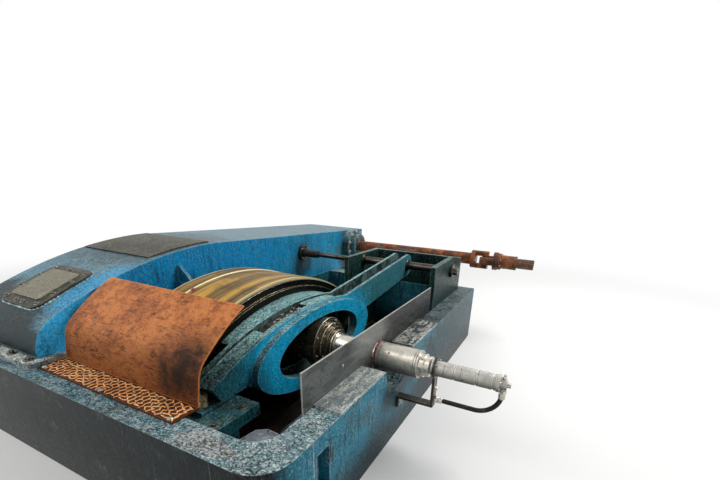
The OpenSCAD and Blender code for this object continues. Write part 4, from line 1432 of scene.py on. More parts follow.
@dataclass
class TreadPattern:
    """Raised lozenges of the tread plate at the guard's foot."""

    pitch: float = 0.027
    crowding: float = 1.7
    length: float = 0.029
    width: float = 0.0076
    height: float = 0.0034
    taper: float = 0.4
    slants: Pair = (-40.0, 50.0)
    stray: float = 84.0
    worn: Pair = (0.7, 0.4)
    edge: float = 0.008
    sink: float = 0.0003
    seed: int = 11

    def build(self) -> None:
        """Makes the lozenges in alternating directions, worn unevenly."""
        low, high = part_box("tread_plate")
        guard_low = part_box("guard_sheet")[0]
        piece = Piece("tread_lozenges", "tread_copper")
        chance = random.Random(self.seed)
        width = high.x - low.x - 2 * self.edge
        span = min(high.y, guard_low.y) - low.y - 2 * self.edge
        rows = round(span / self.pitch * self.crowding)
        columns = int(width / self.pitch)
        for i in range(columns):
            for j in range(rows):
                x = low.x + self.edge + (i + 0.5) * width / columns
                y = low.y + self.edge + (j + 0.5) * span / rows
                slant = math.radians(self.slants[(i + j) % 2]
                                     + self.stray * (chance.random() - 0.5))
                along = Vector((math.cos(slant), math.sin(slant), 0))
                worn = self.worn[0] + self.worn[1] * chance.random()
                piece.bar(Vector((x, y, high.z - self.sink)), along, Axis.Z.vector,
                          (self.length * worn, self.width * worn, self.height * worn), self.taper)
        piece.done()


@dataclass
class PitTrim:
    """Sludge on the sump's floor and the bolts of the near foot."""

    floor: float = 0.03
    depth: float = 0.018
    under: float = 0.002
    front: Pair = (-0.478, -0.075)
    span: Pair = (-0.955, 1.70)
    cells: tuple[int, int] = (90, 16)
    wave: float = 9.0
    swell: float = 0.9
    lumps: Crumbs = Crumbs(60, 0.008, 0.02, (1.0, 1.3, 0.7))
    seed: int = 21
    foot_bolts: Pair = (0.06, 0.22)
    foot_in: float = 0.035
    foot_top: float = 0.45
    foot_flats: float = 0.019

    def build(self) -> None:
        """Makes the pieces."""
        bed = Piece("pit_sludge", "sump_dirt", smooth=80.0)
        bed.bed(*self.cells, lambda a, b: self.point(a, b, True),
                lambda a, b: self.point(a, b, False))
        chance = random.Random(self.seed)
        for i in range(self.lumps.count):
            a, b = chance.random(), chance.random()
            bed.lump(self.point(a, b, True), self.lumps.size(chance), i)
        bed.done()
        low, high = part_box("near_foot")
        bolts = Piece("near_foot_bolts", "dark_steel")
        for y in (low.y + place for place in self.foot_bolts):
            at = Vector((high.x - self.foot_in, y, self.foot_top))
            bolts.bolt(at, Axis.Z.vector, self.foot_flats, y * 9)
        bolts.done()

    def point(self, a: float, b: float, upper: bool) -> Vector:
        """Point of the sludge.

        Args:
            a: share of the way along the pit.
            b: share of the way across it.
            upper: whether it lies on the top.

        Returns:
            The point.
        """
        x = self.front[0] + b * (self.front[1] - self.front[0])
        y = self.span[0] + a * (self.span[1] - self.span[0])
        swell = noise.noise(Vector((x * self.wave, y * self.wave, 1.5)))
        rise = self.depth * (1.0 + self.swell * swell)
        return Vector((x, y, self.floor + rise if upper else self.floor - self.under))


@dataclass
class HousingTrim:
    """Bolts, beads and rings on the gear housing."""

    crown: Pair = (0.2, -1.42782)
    back_r: float = 2.40282
    cover_t: float = 0.016
    cover_mid: float = 112.2
    cover_half: Pair = (0.195, 0.183)
    cover_corner: float = 0.064
    cover_flats: float = 0.014
    corner_in: float = 0.038
    side_in: Pair = (0.026, 0.028)
    cover_bead: Bead = Bead(0.0046, 0.011, 0.8)
    bead_out: float = 0.003
    bead_up: float = 0.001
    foot_flats: float = 0.023
    foot_rows: tuple[float, ...] = (0.06, 0.28, 0.5, 0.72, 0.92)
    face_x: Pair = (-1.524, -1.518)
    near_weld: Bead = Bead(0.007, 0.012, 0.4)
    face_weld: Bead = Bead(0.006, 0.012, 0.4)
    gusset_welds: tuple[Bead, Bead] = (Bead(0.006), Bead(0.004))
    boss_step: float = 0.6
    boss_bolts: BoltCircle = BoltCircle(10, 0.156, 0.024, 0.5, washer=True)
    packing: tuple[Ring, ...] = (Ring(-SINK, 0.068, 0.100, 0.012),
                                 Ring(0.011, 0.066, 0.082, 0.008))
    step_ring: Ring = Ring(-SINK, 0.1296, 0.139, 0.007)
    packing_screws: BoltCircle = BoltCircle(6, 0.116, 0.014, turned_by=2)
    gland_at: float = 0.024
    gland_bolts: BoltCircle = BoltCircle(4, 0.058, 0.015, 0.5)
    boot_bore: float = 0.0225
    boot_foot: float = 0.034
    boot_folds: int = 9
    boot_pitch: float = 0.014
    boot_fold: Pairs = ((0.036, 0.004), (0.030, 0.011))
    boot_cuff: Pairs = ((0.032, 0.134), (0.032, 0.142))

    def build(self) -> None:
        """Makes the pieces."""
        self.cover()
        self.feet()
        self.boss()
        self.gland()
        low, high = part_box("face_gusset")
        upright, foot = self.gusset_welds
        welds = Piece("gusset_welds", "housing_azure", smooth=60.0)
        for y in (low.y, high.y):
            welds.seam([Vector((low.x, y, low.z + 0.004)), Vector((low.x, y, high.z - 0.004))],
                       upright)
            welds.seam([Vector((low.x, y, low.z + 0.001)),
                        Vector((high.x - 0.02, y, low.z + 0.001))], foot)
        welds.done()

    def on_curve(self, x: float, along: float, lift: float) -> tuple[Vector, Vector]:
        """Point over the housing's long curve.

        Args:
            x: its place along the spindle's direction.
            along: distance up the curve from the cover's middle.
            lift: height over the housing.

        Returns:
            The point and the outward direction.
        """
        angle = math.radians(self.cover_mid) - along / self.back_r
        up = Vector((0.0, math.cos(angle), math.sin(angle)))
        return Vector((x, *self.crown)) + up * (self.back_r + lift), up

    def cover(self) -> None:
        """Makes the cover's bolts and the bead of old paint round it."""
        low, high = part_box("inspection_cover")
        middle = (low.x + high.x) / 2
        half_x, half_s = self.cover_half
        corner_x, corner_s = half_x - self.corner_in, half_s - self.corner_in
        inner_x, inner_s = half_x - self.side_in[0], half_s - self.side_in[1]
        bolts = Piece("cover_bolts", "dark_steel")
        places = [(a * corner_x, b * corner_s) for a in (-1, 1) for b in (-1, 1)]
        places += [(a * inner_x, b * half_s * 0.3) for a in (-1, 1) for b in (-1, 1)]
        places += [(0.1 * a, b * inner_s) for a in (-0.3, 0.3) for b in (-1, 1)]
        for x, s in places:
            at, up = self.on_curve(middle + x, s, self.cover_t)
            bolts.bolt(at, up, self.cover_flats, 9 * x + s)
        bolts.done()
        bead = Piece("cover_paint_bead", "paint_lip", slot="housing_blue", smooth=60.0)
        outline = []
        corner = self.cover_corner
        for quarter, (a, b) in enumerate(((1, 1), (-1, 1), (-1, -1), (1, -1))):
            for k in range(7):
                angle = math.radians(90 * quarter + 15 * k)
                x = middle + a * (half_x - corner) + (corner + self.bead_out) * math.cos(angle)
                s = b * (half_s - corner) + (corner + self.bead_out) * math.sin(angle)
                outline.append(self.on_curve(x, s, self.bead_up)[0])
        bead.seam(outline + outline[:1], self.cover_bead)
        bead.done()

    def feet(self) -> None:
        """Makes the foot flange's bolts and its weld."""
        low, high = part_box("foot_flange")
        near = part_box("gear_housing")[0].y
        feet = Piece("foot_flange_bolts", "dark_steel")
        for share in self.foot_rows:
            at = Vector((low.x + share * (high.x - low.x), (low.y + near) / 2, high.z))
            feet.bolt(at, Axis.Z.vector, self.foot_flats, share * 4)
        feet.done()
        weld = Piece("foot_flange_weld", "housing_azure", smooth=60.0)
        near_x, face_x = self.face_x
        weld.seam([Vector((low.x + 0.01, near, high.z)), Vector((near_x, near, high.z))],
                  self.near_weld)
        weld.seam([Vector((face_x, near + 0.006, high.z)),
                   Vector((face_x, high.y - 0.01, high.z))], self.face_weld)
        weld.done()

    def boss(self) -> None:
        """Makes the drive boss's bolts and packing ring."""
        along = Axis.X.vector
        low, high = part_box("drive_boss")
        centre = (low + high) / 2
        ring = Piece("drive_boss_bolts", "bolt_steel")
        step = Vector((low.x + self.boss_step * (high.x - low.x), centre.y, centre.z))
        ring.bolts(step, along, self.boss_bolts)
        ring.done()
        face = Vector((high.x, centre.y, centre.z))
        packing = Piece("drive_packing_ring", "dark_steel")
        packing.rings(face, along, self.packing)
        packing.rings(step, along, [self.step_ring])
        packing.done()
        screws = Piece("drive_packing_screws", "bolt_steel")
        screws.bolts(face, along, self.packing_screws)
        screws.done()

    def gland(self) -> None:
        """Makes the rod gland's bolts and the rod's rubber boot."""
        low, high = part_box("rod_gland")
        centre = (low + high) / 2
        gland = Piece("rod_gland_bolts", "bolt_steel")
        gland.bolts(Vector((low.x + self.gland_at, centre.y, centre.z)), Axis.X.vector,
                    self.gland_bolts)
        gland.done()
        boot = Piece("rod_boot", "hose_rubber")
        profile = [(self.boot_bore, 0.0), (self.boot_foot, 0.0)]
        for i in range(self.boot_folds):
            profile += [(radius, rise + self.boot_pitch * i) for radius, rise in self.boot_fold]
        profile += [*self.boot_cuff, (self.boot_bore, self.boot_cuff[-1][1])]
        boot.lathe(Vector((high.x - 0.001, centre.y, centre.z)), Axis.X.vector, profile, 28,
                   loop=True)
        boot.done()


@dataclass
class BridgeTrim:
    """Dirt between the bridge's plates, its seams, the load cell's head and the pivot's nuts."""

    crown_r: float = 1.85
    crown_z: float = -1.110
    slot_x: float = -0.538
    slot: Pair = (102.8, 91.2)
    solid: Pair = (115.2, 103.4)
    neck: Pair = (90.6, 82.2)
    arm_root: Pair = (0.337, 0.709)
    arm_end: Pair = (1.426, 0.827)
    overlap: float = 0.001
    slot_cells: tuple[int, int] = (60, 8)
    slot_drop: Pair = (0.027, 0.07)
    slot_lumps: Crumbs = Crumbs(80, 0.004, 0.008, (1.0, 1.4, 0.8))
    slot_seed: int = 5
    flakes: Crumbs = Crumbs(26, 0.004, 0.005, (1.0, 1.3, 0.3), first=200, power=1)
    channel_cells: tuple[int, int] = (90, 8)
    channel_drop: Pair = (0.078, 0.1)
    channel_span: Pair = (0.02, 0.86)
    channel_lumps: Crumbs = Crumbs(50, 0.004, 0.007, (1.0, 1.6, 0.7), first=300)
    channel_seed: int = 8
    seam_drop: float = 0.0135
    grease: Bead = Bead(0.0042, 0.012, 0.9)
    grease_in: float = 0.003
    slot_grease: Bead = Bead(0.004, 0.01, 0.8)
    slot_grease_drop: float = 0.016
    slot_ends: Pair = (0.15, -0.1)
    plate_weld: Bead = Bead(0.004, 0.008, 0.4)
    plate_weld_in: float = 0.010
    cell_ring: Ring = Ring(-SINK, 0.024, 0.041, 0.006)
    cell_button: Pairs = ((0.019, 0.0), (0.019, 0.004), (0.012, 0.008), (0.0, 0.009))
    plug_way: Spot = (0.78, -0.62, 0.0)
    plug_out: float = 0.038
    plug_down: float = 0.018
    plug: Pairs = ((0.011, 0.0), (0.011, 0.012), (0.0075, 0.013), (0.0075, 0.024),
                   (0.006, 0.026), (0.0, 0.026))
    nut_ring: Ring = Ring(-0.0484, 0.0262, 0.048, 0.005)
    nut_at: float = -0.044
    nut_flats: float = 0.058
    pin_end_at: float = -0.0125
    pin_end: Pairs = ((0.024, 0.0), (0.024, 0.004), (0.02, 0.008), (0.012, 0.008),
                      (0.010, 0.004), (0.0, 0.004))
    pivot_ring: tuple[float, float, float] = (0.0342, 0.052, 0.012)
    ring_gap: float = 0.0196
    keeper: Pairs = ((0.046, 0.0), (0.046, 0.006), (0.042, 0.009), (0.0, 0.009))
    keeper_bolts: BoltCircle = BoltCircle(3, 0.03, 0.013)
    keeper_top: float = 0.008
    back_weld: Bead = Bead(0.007, 0.012, 0.4)
    back_weld_z: Pair = (0.51, 0.79)
    foot_weld: Bead = Bead(0.006, 0.012, 0.4)
    foot_weld_in: float = 0.02

    def build(self) -> None:
        """Makes the pieces."""
        self.slot_bed()
        self.channel_bed()
        self.seams()
        self.load_cell()
        self.pivot()

    def on_crown(self, angle: float, drop: float, x: float) -> Vector:
        """Point of the bridge's round back.

        Args:
            angle: angle in degrees from the far side.
            drop: depth below the back.
            x: place along the spindle's direction.

        Returns:
            The point.
        """
        turn = math.radians(angle)
        radius = self.crown_r - drop
        return Vector((x, radius * math.cos(turn), self.crown_z + radius * math.sin(turn)))

    def slot_bed(self) -> None:
        """Makes the caked dirt, crumbs and scale flakes in the web's slot."""
        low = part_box("bridge_web")[0]
        start, end = self.slot
        drop, foot = self.slot_drop

        def point(a: float, b: float, drop: float) -> Vector:
            """Point of the bed at two shares and a depth."""
            x = low.x + self.overlap + b * (self.slot_x + self.overlap - low.x)
            return self.on_crown(start + a * (end - start), drop, x)

        def top(a: float, b: float) -> Vector:
            """Point of the bed's top."""
            wave = noise.noise(Vector((a * 14, b * 3, 0.7))) * 0.012
            return point(a, b, drop + wave + 0.01 * (0.5 - abs(b - 0.5)))

        bed = Piece("slot_dirt", "slot_crust", smooth=70.0)
        bed.bed(*self.slot_cells, top, lambda a, b: point(a, b, foot))
        chance = random.Random(self.slot_seed)
        for i in range(self.slot_lumps.count):
            size = self.slot_lumps.size(chance)
            at = top(chance.random() * 0.96 + 0.02, chance.random() * 0.8 + 0.1)
            bed.lump(at, size, i)
        bed.done()
        flakes = Piece("slot_scale_flakes", "scale_flakes_and_glint", slot="sheet_grey", smooth=20.0)
        for i in range(self.flakes.count):
            size = self.flakes.size(chance)
            at = top(chance.random() * 0.9 + 0.05, chance.random() * 0.7 + 0.15)
            flakes.lump(at + Vector((0, 0, 0.004)), size, self.flakes.first + i, 0.45, 0.9)
        flakes.done()

    def on_arm(self, share: float, drop: float, x: float) -> Vector:
        """Point of the straight arm.

        Args:
            share: 0 at its root and 1 at its end.
            drop: depth below its upper edge.
            x: place along the spindle's direction.

        Returns:
            The point.
        """
        y = self.arm_root[0] + share * (self.arm_end[0] - self.arm_root[0])
        z = self.arm_root[1] + share * (self.arm_end[1] - self.arm_root[1])
        return Vector((x, y, z - drop))

    def channel_bed(self) -> None:
        """Makes the dirt in the arm's deep channel."""
        low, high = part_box("bridge_web")
        drop, under = self.channel_drop
        start, span = self.channel_span

        def point(a: float, b: float, drop: float) -> Vector:
            """Point of the dirt at two shares and a depth."""
            x = low.x + self.overlap + b * (high.x - low.x - 2 * self.overlap)
            return self.on_arm(start + a * span, drop, x)

        def top(a: float, b: float) -> Vector:
            """Point of the dirt's top."""
            heap = noise.noise(Vector((a * 16, b * 3, 4.2))) * 0.010 + 0.012 * abs(b - 0.5)
            return point(a, b, drop - heap)

        bed = Piece("channel_dirt", "slot_crust", smooth=70.0)
        bed.bed(*self.channel_cells, top, lambda a, b: point(a, b, under))
        chance = random.Random(self.channel_seed)
        lumps = self.channel_lumps
        for i in range(lumps.count):
            size = lumps.size(chance)
            bed.lump(top(chance.random(), 0.15 + 0.7 * chance.random()), size, lumps.first + i)
        bed.done()

    def seams(self) -> None:
        """Makes the lines of grease and the welds along the web."""
        low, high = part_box("bridge_web")
        grease = Piece("bridge_grease_lines", "slot_crust", smooth=60.0)
        welds = Piece("bridge_welds", "bridge_teal", smooth=60.0)
        for start, end in (self.solid, self.neck):
            angles = [start + (end - start) * i / 24 for i in range(25)]
            for x, side in ((low.x, 1.0), (high.x, -1.0)):
                for piece, inset, bead in ((grease, self.grease_in, self.grease),
                                           (welds, self.plate_weld_in, self.plate_weld)):
                    piece.seam([self.on_crown(a, self.seam_drop, x + side * inset)
                                for a in angles], bead)
        for angle, shift in zip(self.slot, self.slot_ends):
            grease.seam([self.on_crown(angle + shift, self.slot_grease_drop, x)
                         for x in (low.x + 0.004, self.slot_x)], self.slot_grease)
        grease.done()
        welds.done()

    def load_cell(self) -> None:
        """Makes the load cell's ringed head and its side connector."""
        low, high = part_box("load_cell")
        centre = (low + high) / 2
        head = Piece("load_cell_head", "cell_beige")
        head.rings(Vector((centre.x, centre.y, high.z)), Axis.Z.vector, [self.cell_ring])
        head.lathe(Vector((centre.x, centre.y, high.z - SINK)), Axis.Z.vector, self.cell_button,
                   28)
        head.done()
        plug = Piece("load_cell_connector", "bright_steel")
        side = Vector(self.plug_way).normalized()
        plug.lathe(Vector((centre.x, centre.y, high.z - self.plug_down)) + side * self.plug_out,
                   side, self.plug, 16)
        plug.done()

    def pivot(self) -> None:
        """Makes the pivot's nut, keeper, rings and welds."""
        along, back = Axis.X, Axis.BACK_X
        low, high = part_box("pivot_pin")
        y, z = (low.y + high.y) / 2, (low.z + high.z) / 2
        web_low, web_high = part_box("bridge_web")
        side_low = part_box("pivot_side_cheek")[0]
        left_low, left_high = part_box("pivot_left_cheek")
        nut = Piece("pivot_nut", "dark_steel", slot="bright_steel")
        nut.rings(Vector((0.0, y, z)), along.vector, [self.nut_ring])
        nut.bolt(Vector((self.nut_at, y, z)), along.vector, self.nut_flats, 0.2, washer=False)
        nut.lathe(Vector((self.pin_end_at, y, z)), along.vector, self.pin_end, 20)
        nut.done()
        rings = Piece("pivot_rings", "dark_steel")
        for x, axis in ((web_high.x + self.ring_gap, along), (web_low.x - self.ring_gap, back),
                        (side_low.x + SINK, back), (left_high.x - SINK, along)):
            rings.ring(Vector((x, y, z)), axis.vector, *self.pivot_ring)
        rings.done()
        keeper = Piece("pivot_keeper", "bolt_steel")
        end = Vector((left_low.x + SINK, y, z))
        keeper.lathe(end, back.vector, self.keeper, 28)
        keeper.bolts(end + back.vector * self.keeper_top, back.vector, self.keeper_bolts)
        keeper.done()
        welds = Piece("pivot_bracket_welds", "bracket_green", smooth=60.0)
        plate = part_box("pivot_back_plate")[0].y
        for x in (side_low.x, left_high.x):
            welds.seam([Vector((x, plate, height)) for height in self.back_weld_z],
                       self.back_weld)
        for x in (left_low.x, left_high.x):
            welds.seam([Vector((x, left_low.y + self.foot_weld_in, left_low.z + 0.001)),
                        Vector((x, left_high.y - self.foot_weld_in, left_low.z + 0.001))],
                       self.foot_weld)
        welds.done()


@dataclass
class SpindleTrim:
    """Screws and rings of the hub, the sleeve, the rotary joint, its strap and its hose."""

    height: float = 0.5
    sink: float = 0.0006
    hub_rows: tuple[tuple[float, float, int, float], ...] = (
        (-0.404, 0.1440, 8, 0.0075), (-0.378, 0.1210, 6, 0.0058))
    hub_rings: Pairs = ((-0.4104, 0.1580), (-0.3844, 0.1300), (-0.3424, 0.0920))
    hub_ring_proud: float = 0.0014
    hub_ring_width: float = 0.0044
    hub_nose: Ring = Ring(-0.3364, 0.0705, 0.0800, 0.004)
    clamp_screw: Pair = (0.008, 0.007)
    clamp_screw_in: float = 0.015
    seal_width: float = 0.0036
    sleeve_screw: Pair = (0.006, 0.0032)
    sleeve_screw_in: float = 0.09
    joint_r: float = 0.043
    grooves: tuple[float, ...] = (0.335, 0.425, 0.515, 0.600)
    band: Pair = (0.0008, 0.0032)
    tie_nuts: BoltCircle = BoltCircle(6, 0.0365, 0.009, 0.5)
    cap_flats: float = 0.026
    cap_in: float = 0.018
    port_x: float = 0.645
    vent_up: float = 0.028
    vent_flats: float = 0.019
    vent: Pairs = ((0.0055, 0.0), (0.0055, 0.008), (0.0075, 0.009), (0.0075, 0.013),
                   (0.004, 0.016), (0.0, 0.016))
    hose_z: float = 0.307
    port_z: float = 0.448
    strap_x: float = 0.292
    ferrule: Pairs = ((0.0185, 0.0), (0.0185, 0.004), (0.0172, 0.006), (0.0185, 0.009),
                      (0.0172, 0.013), (0.0185, 0.017), (0.0172, 0.021), (0.0178, 0.030),
                      (0.0150, 0.034), (0.0128, 0.034), (0.0128, 0.0))
    port_nut: Pairs = ((0.0205, 0.0), (0.022, 0.003), (0.022, 0.015), (0.0205, 0.018))
    strap_nut: Pairs = ((0.021, 0.0), (0.0225, 0.002), (0.0225, 0.013), (0.021, 0.015))
    foot_x: float = 0.086
    foot_bolts: Pair = (0.018, 0.045)
    strap_flats: float = 0.016
    strap_bolts: BoltCircle = BoltCircle(4, 0.0505, 0.009, 0.5, turned_by=2)
    clip_z: float = 0.375

    def axle(self, x: float) -> Vector:
        """Point of the spindle's axis."""
        return Vector((x, 0.0, self.height))

    def build(self) -> None:
        """Makes the pieces."""
        self.hub()
        self.sleeve()
        self.joint()
        self.hose_ends()
        self.strap()

    def hub(self) -> None:
        """Makes the hub's cap screws and its bright rings."""
        along = Axis.X.vector
        screws = Piece("hub_ring_screws", "bolt_steel", "spindle")
        for x, radius, count, size in self.hub_rows:
            for out in round_about(along, count, 0.33):
                screws.cap_screw(self.axle(x) + out * radius, along, size, size * 1.1)
        screws.done()
        rings = Piece("hub_bright_rings", "bright_steel", "spindle")
        for x, radius in self.hub_rings:
            rings.ring(self.axle(x), along, radius - self.sink, radius + self.hub_ring_proud,
                       self.hub_ring_width)
        rings.rings(self.axle(0.0), along, [self.hub_nose])
        rings.done()

    def sleeve(self) -> None:
        """Makes the sleeve's and the clamp ring's screws."""
        low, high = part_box("clamp_ring")
        radius = (high.z - low.z) / 2
        clamp = Piece("clamp_screws", "bolt_steel", "spindle")
        at = self.axle(low.x + self.clamp_screw_in)
        for out in round_about(Axis.X.vector, 4, 0.4):
            clamp.cap_screw(at + out * (radius - 0.001), out, *self.clamp_screw)
        clamp.done()
        low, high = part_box("spindle_sleeve")
        radius = (high.z - low.z) / 2
        seals = Piece("sleeve_rings", "dark_steel", "spindle")
        for x, proud in ((low.x + 0.028, 0.0012), (high.x - 0.024, 0.0014),
                         (high.x - 0.012, 0.001)):
            seals.ring(self.axle(x), Axis.X.vector, radius - self.sink, radius + proud,
                       self.seal_width)
        at = self.axle(low.x + self.sleeve_screw_in)
        for out in round_about(Axis.X.vector, 3, 0.15):
            seals.cap_screw(at + out * (radius - 0.0008), out, *self.sleeve_screw)
        seals.done()

    def joint(self) -> None:
        """Makes the rotary joint's grooves, tie nuts and end fittings."""
        along = Axis.X.vector
        low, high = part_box("rotary_joint")
        inner = self.joint_r - self.sink
        proud, width = self.band
        bands = Piece("rotary_joint_bands", "oily_black")
        for x in self.grooves:
            bands.ring(self.axle(x), along, inner, self.joint_r + proud, width)
        bands.done()
        flange = Piece("rotary_joint_flange", "joint_alloy")
        for x, proud, width in ((high.x - 0.016, 0.0045, 0.0158), (low.x + 0.003, 0.0035, 0.009)):
            flange.ring(self.axle(x), along, inner, self.joint_r + proud, width)
        flange.done()
        nuts = Piece("joint_cap_bolts", "bright_steel")
        nuts.bolts(self.axle(high.x), along, self.tie_nuts)
        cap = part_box("joint_cap")[1]
        nuts.bolt(self.axle(cap.x - self.cap_in), along, self.cap_flats, 0.1, washer=False)
        nuts.done()
        vent = Piece("joint_vent_fitting", "bright_steel")
        top = self.axle(self.port_x) + Vector((0, 0, self.vent_up))
        vent.bolt(top, Axis.Z.vector, self.vent_flats, 0.4, washer=False)
        vent.lathe(top + Vector((0, 0, 0.011)), Axis.Z.vector, self.vent, 16)
        vent.done()

    def hose_ends(self) -> None:
        """Makes the hose's ferrules and nuts."""
        along, down = Axis.X.vector, Axis.DOWN.vector
        ends = Piece("hose_ferrules", "bright_steel")
        port = Vector((self.port_x, 0.0, self.port_z))
        ends.lathe(port, down, self.ferrule, 24, loop=True)
        ends.lathe(port + Vector((0, 0, 0.018)), down, self.port_nut, 6, 0.3)
        strap = Vector((self.strap_x, 0.0, self.hose_z))
        ends.lathe(strap, along, self.strap_nut, 6, 0.5)
        ends.lathe(strap + Vector((0.014, 0, 0)), along, self.ferrule, 24, loop=True)
        ends.done()

    def strap(self) -> None:
        """Makes the strap's bolts and clip."""
        along = Axis.X.vector
        low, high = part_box("torque_strap")
        bolts = Piece("torque_strap_bolts", "bolt_steel")
        for z in (low.z + rise for rise in self.foot_bolts):
            bolts.bolt(Vector((self.foot_x, 0.0, z)), along, self.strap_flats, z * 30)
        bolts.bolts(self.axle(high.x), along, self.strap_bolts)
        bolts.bolt(Vector((high.x, 0.0, self.clip_z)), along, self.strap_flats, 0.2)
        bolts.done()


@dataclass
class CardanTrim:
    """Caps, bolts and rings of the drive shaft's universal joint."""

    body: str = "drive_line"
    centre: Spot = (0.074, 2.16, 0.732)
    reach: float = 0.078
    cap: Pairs = ((0.0195, 0.0), (0.0195, 0.004), (0.013, 0.0065), (0.005, 0.007),
                  (0.004, 0.012), (0.0, 0.013))
    snap_ring: Ring = Ring(0.003, 0.0165, 0.0200, 0.0028)
    flange_face: float = 0.240
    flange_grip: float = 0.0336
    flange_bolts: BoltCircle = BoltCircle(8, 0.0728, 0.0115, 0.5)
    weld_ring: Ring = Ring(-0.062, 0.0570, 0.0640, 0.010)
    rings_at: tuple[float, ...] = (0.246, 0.268, 0.372)
    ring: tuple[float, float, float] = (0.0652, 0.0690, 0.009)
    splines: int = 16
    spline_at: Pair = (0.475, 0.0440)
    spline: Spot = (0.145, 0.008, 0.0042)

    def build(self) -> None:
        """Makes the pieces."""
        along, back = Axis.X.vector, Axis.BACK_X.vector
        middle = Vector(self.centre)
        caps = Piece("cross_caps", "dark_steel", self.body)
        snaps = Piece("cross_snap_rings", "bolt_steel", self.body, "bright_steel")
        for axis in (Axis.Y, Axis.BACK_Y, Axis.Z, Axis.DOWN):
            at = middle + axis.vector * (self.reach - 0.001)
            caps.lathe(at, axis.vector, self.cap, 24)
            snaps.rings(at, axis.vector, [self.snap_ring], 28)
        caps.done()
        snaps.done()
        bolts = Piece("cardan_flange_bolts", "bolt_steel", self.body)
        face = Vector((self.flange_face, middle.y, middle.z))
        circle = self.flange_bolts
        for out in round_about(along, circle.count, circle.start):
            at = face + out * circle.radius
            bolts.bolt(at, along, circle.flats, out.y, washer=False)
            bolts.bolt(at - along * self.flange_grip, back, circle.flats, out.z, washer=False)
        bolts.done()
        rings = Piece("cardan_rings", "rust_orange", self.body)
        rings.rings(Vector((0.0, middle.y, middle.z)), along, [self.weld_ring])
        for x in self.rings_at:
            rings.ring(Vector((x, middle.y, middle.z)), along, *self.ring)
        rings.done()
        keys = Piece("splined_stub", "dark_steel", self.body)
        x, radius = self.spline_at
        for out in round_about(along, self.splines):
            keys.bar(Vector((x, middle.y, middle.z)) + out * radius, along, out, self.spline, 0.7)
        keys.done()


@dataclass(frozen=True)
class Lamp:
    """A soft square lamp: where it hangs, what it faces, its side length and its watts."""

    name: str
    at: Spot
    aim: Spot
    size: float
    power: float

    def hang(self) -> None:
        """Adds the lamp to the scene."""
        light = bpy.data.lights.new(self.name, "AREA")
        light.size, light.energy = self.size, self.power
        made = bpy.data.objects.new(self.name, light)
        made.location = self.at
        away = Vector(self.at) - Vector(self.aim)
        made.rotation_euler = away.to_track_quat("Z", "Y").to_euler()
        bpy.context.scene.collection.objects.link(made)


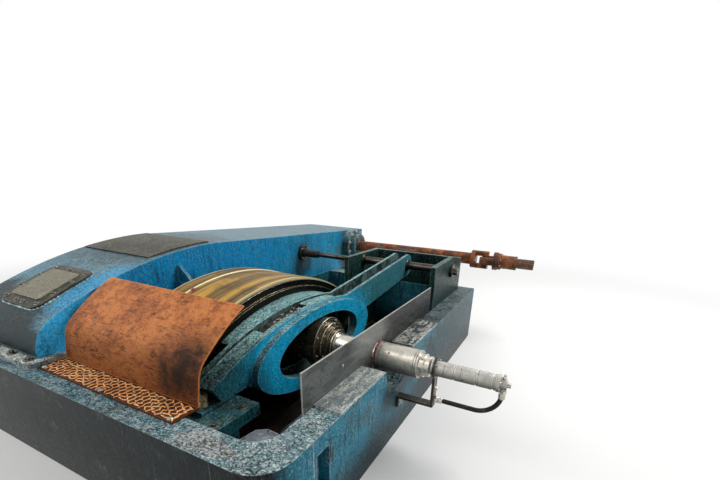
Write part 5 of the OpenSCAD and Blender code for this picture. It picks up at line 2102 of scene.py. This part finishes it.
@dataclass
class Studio:
    """Camera, lamps, floor and world."""

    place: Spot = (0.7772, -1.7831, 1.4153)
    yaw: float = -25.128
    pitch: float = 22.820
    roll: float = -2.236
    lens: float = 18.665
    sensor: float = 36.0
    shift: Pair = (-0.0279, 0.14)
    clip: Pair = (0.05, 200.0)
    floor_size: float = 60.0
    floor_level: float = -0.001
    floor_tones: tuple[Colour, Colour] = (tone(224, 224, 222), tone(230, 230, 228))
    floor_rough: float = 0.8
    middle: Spot = (-0.9, 0.6, 0.0)
    fade: Pair = (2.4, 7.0)
    white: Colour = (1.0, 1.0, 1.0)
    ambient: Colour = (0.8, 0.8, 0.8)
    ambient_strength: float = 0.5
    lamps: tuple[Lamp, ...] = (Lamp("key", (2.6, 3.4, 4.6), (-0.8, 0.4, 0.4), 3.0, 330.0),
                               Lamp("fill", (-3.4, -2.6, 4.2), (-0.8, 0.2, 0.4), 3.5, 130.0))

    def camera(self) -> None:
        """Places the camera at the photograph's angle."""
        yaw, pitch, roll = (math.radians(a) for a in (self.yaw, self.pitch, self.roll))
        ahead = Vector((math.cos(pitch) * math.sin(yaw), math.cos(pitch) * math.cos(yaw),
                        -math.sin(pitch)))
        right = Vector((math.cos(yaw), -math.sin(yaw), 0.0))
        down = ahead.cross(right)
        tilted_right = math.cos(roll) * right + math.sin(roll) * down
        tilted_down = -math.sin(roll) * right + math.cos(roll) * down
        lens = bpy.data.cameras.new("camera")
        lens.lens = self.lens
        lens.sensor_width = self.sensor
        lens.shift_x, lens.shift_y = self.shift
        lens.clip_start, lens.clip_end = self.clip
        made = bpy.data.objects.new("camera", lens)
        turn = Matrix((tilted_right, -tilted_down, -ahead)).transposed().to_4x4()
        made.matrix_world = Matrix.Translation(self.place) @ turn
        bpy.context.scene.collection.objects.link(made)
        bpy.context.scene.camera = made

    def floor(self) -> None:
        """Lays a plain pale floor that fades to white away from the object."""
        mesh = bpy.data.meshes.new("floor")
        half, level = self.floor_size / 2, self.floor_level
        mesh.from_pydata([(-half, -half, level), (half, -half, level), (half, half, level),
                          (-half, half, level)], [], [(0, 1, 2, 3)])
        made = bpy.data.objects.new("floor", mesh)
        shade = Shade("pale_floor")
        spot = shade.place()
        colour = shade.blend(shade.noise(spot, 0.4, 3), *self.floor_tones)
        pale = shade.surface(colour, self.floor_rough, 0.0)
        white = shade.node("Emission", {}, {"Color": self.white})
        away = shade.distance(spot, self.middle).step(*self.fade)
        mixed = shade.node("MixShader", {}, {0: away * shade.seen(), 1: pale, 2: white})
        mesh.materials.append(shade.shown(mixed))
        bpy.context.scene.collection.objects.link(made)

    def world(self) -> None:
        """Sets a soft world that shows white to the camera, to gloss and through glass."""
        world = bpy.data.worlds.new("studio")
        bpy.context.scene.world = world
        graph = Graph(world)
        soft, white = (graph.node("Background", {}, {"Color": colour, "Strength": strength})
                       for colour, strength in ((self.ambient, self.ambient_strength),
                                                (self.white, 1.0)))
        mixed = graph.node("MixShader", {}, {0: graph.seen(), 1: soft, 2: white})
        graph.show("OutputWorld", mixed)

    def build(self) -> None:
        """Sets up the whole studio."""
        self.camera()
        self.floor()
        self.world()
        for lamp in self.lamps:
            lamp.hang()
        bpy.context.scene.view_settings.view_transform = "Standard"


def main() -> None:
    """Builds the studio and every sub-assembly."""
    for part in (Studio(), CadSkin(), RimTrim(), TreadPattern(), PitTrim(), HousingTrim(),
                 BridgeTrim(), SpindleTrim(), CardanTrim()):
        LOG.info("building %s", type(part).__name__)
        part.build()


if __name__ == "__main__":
    main()
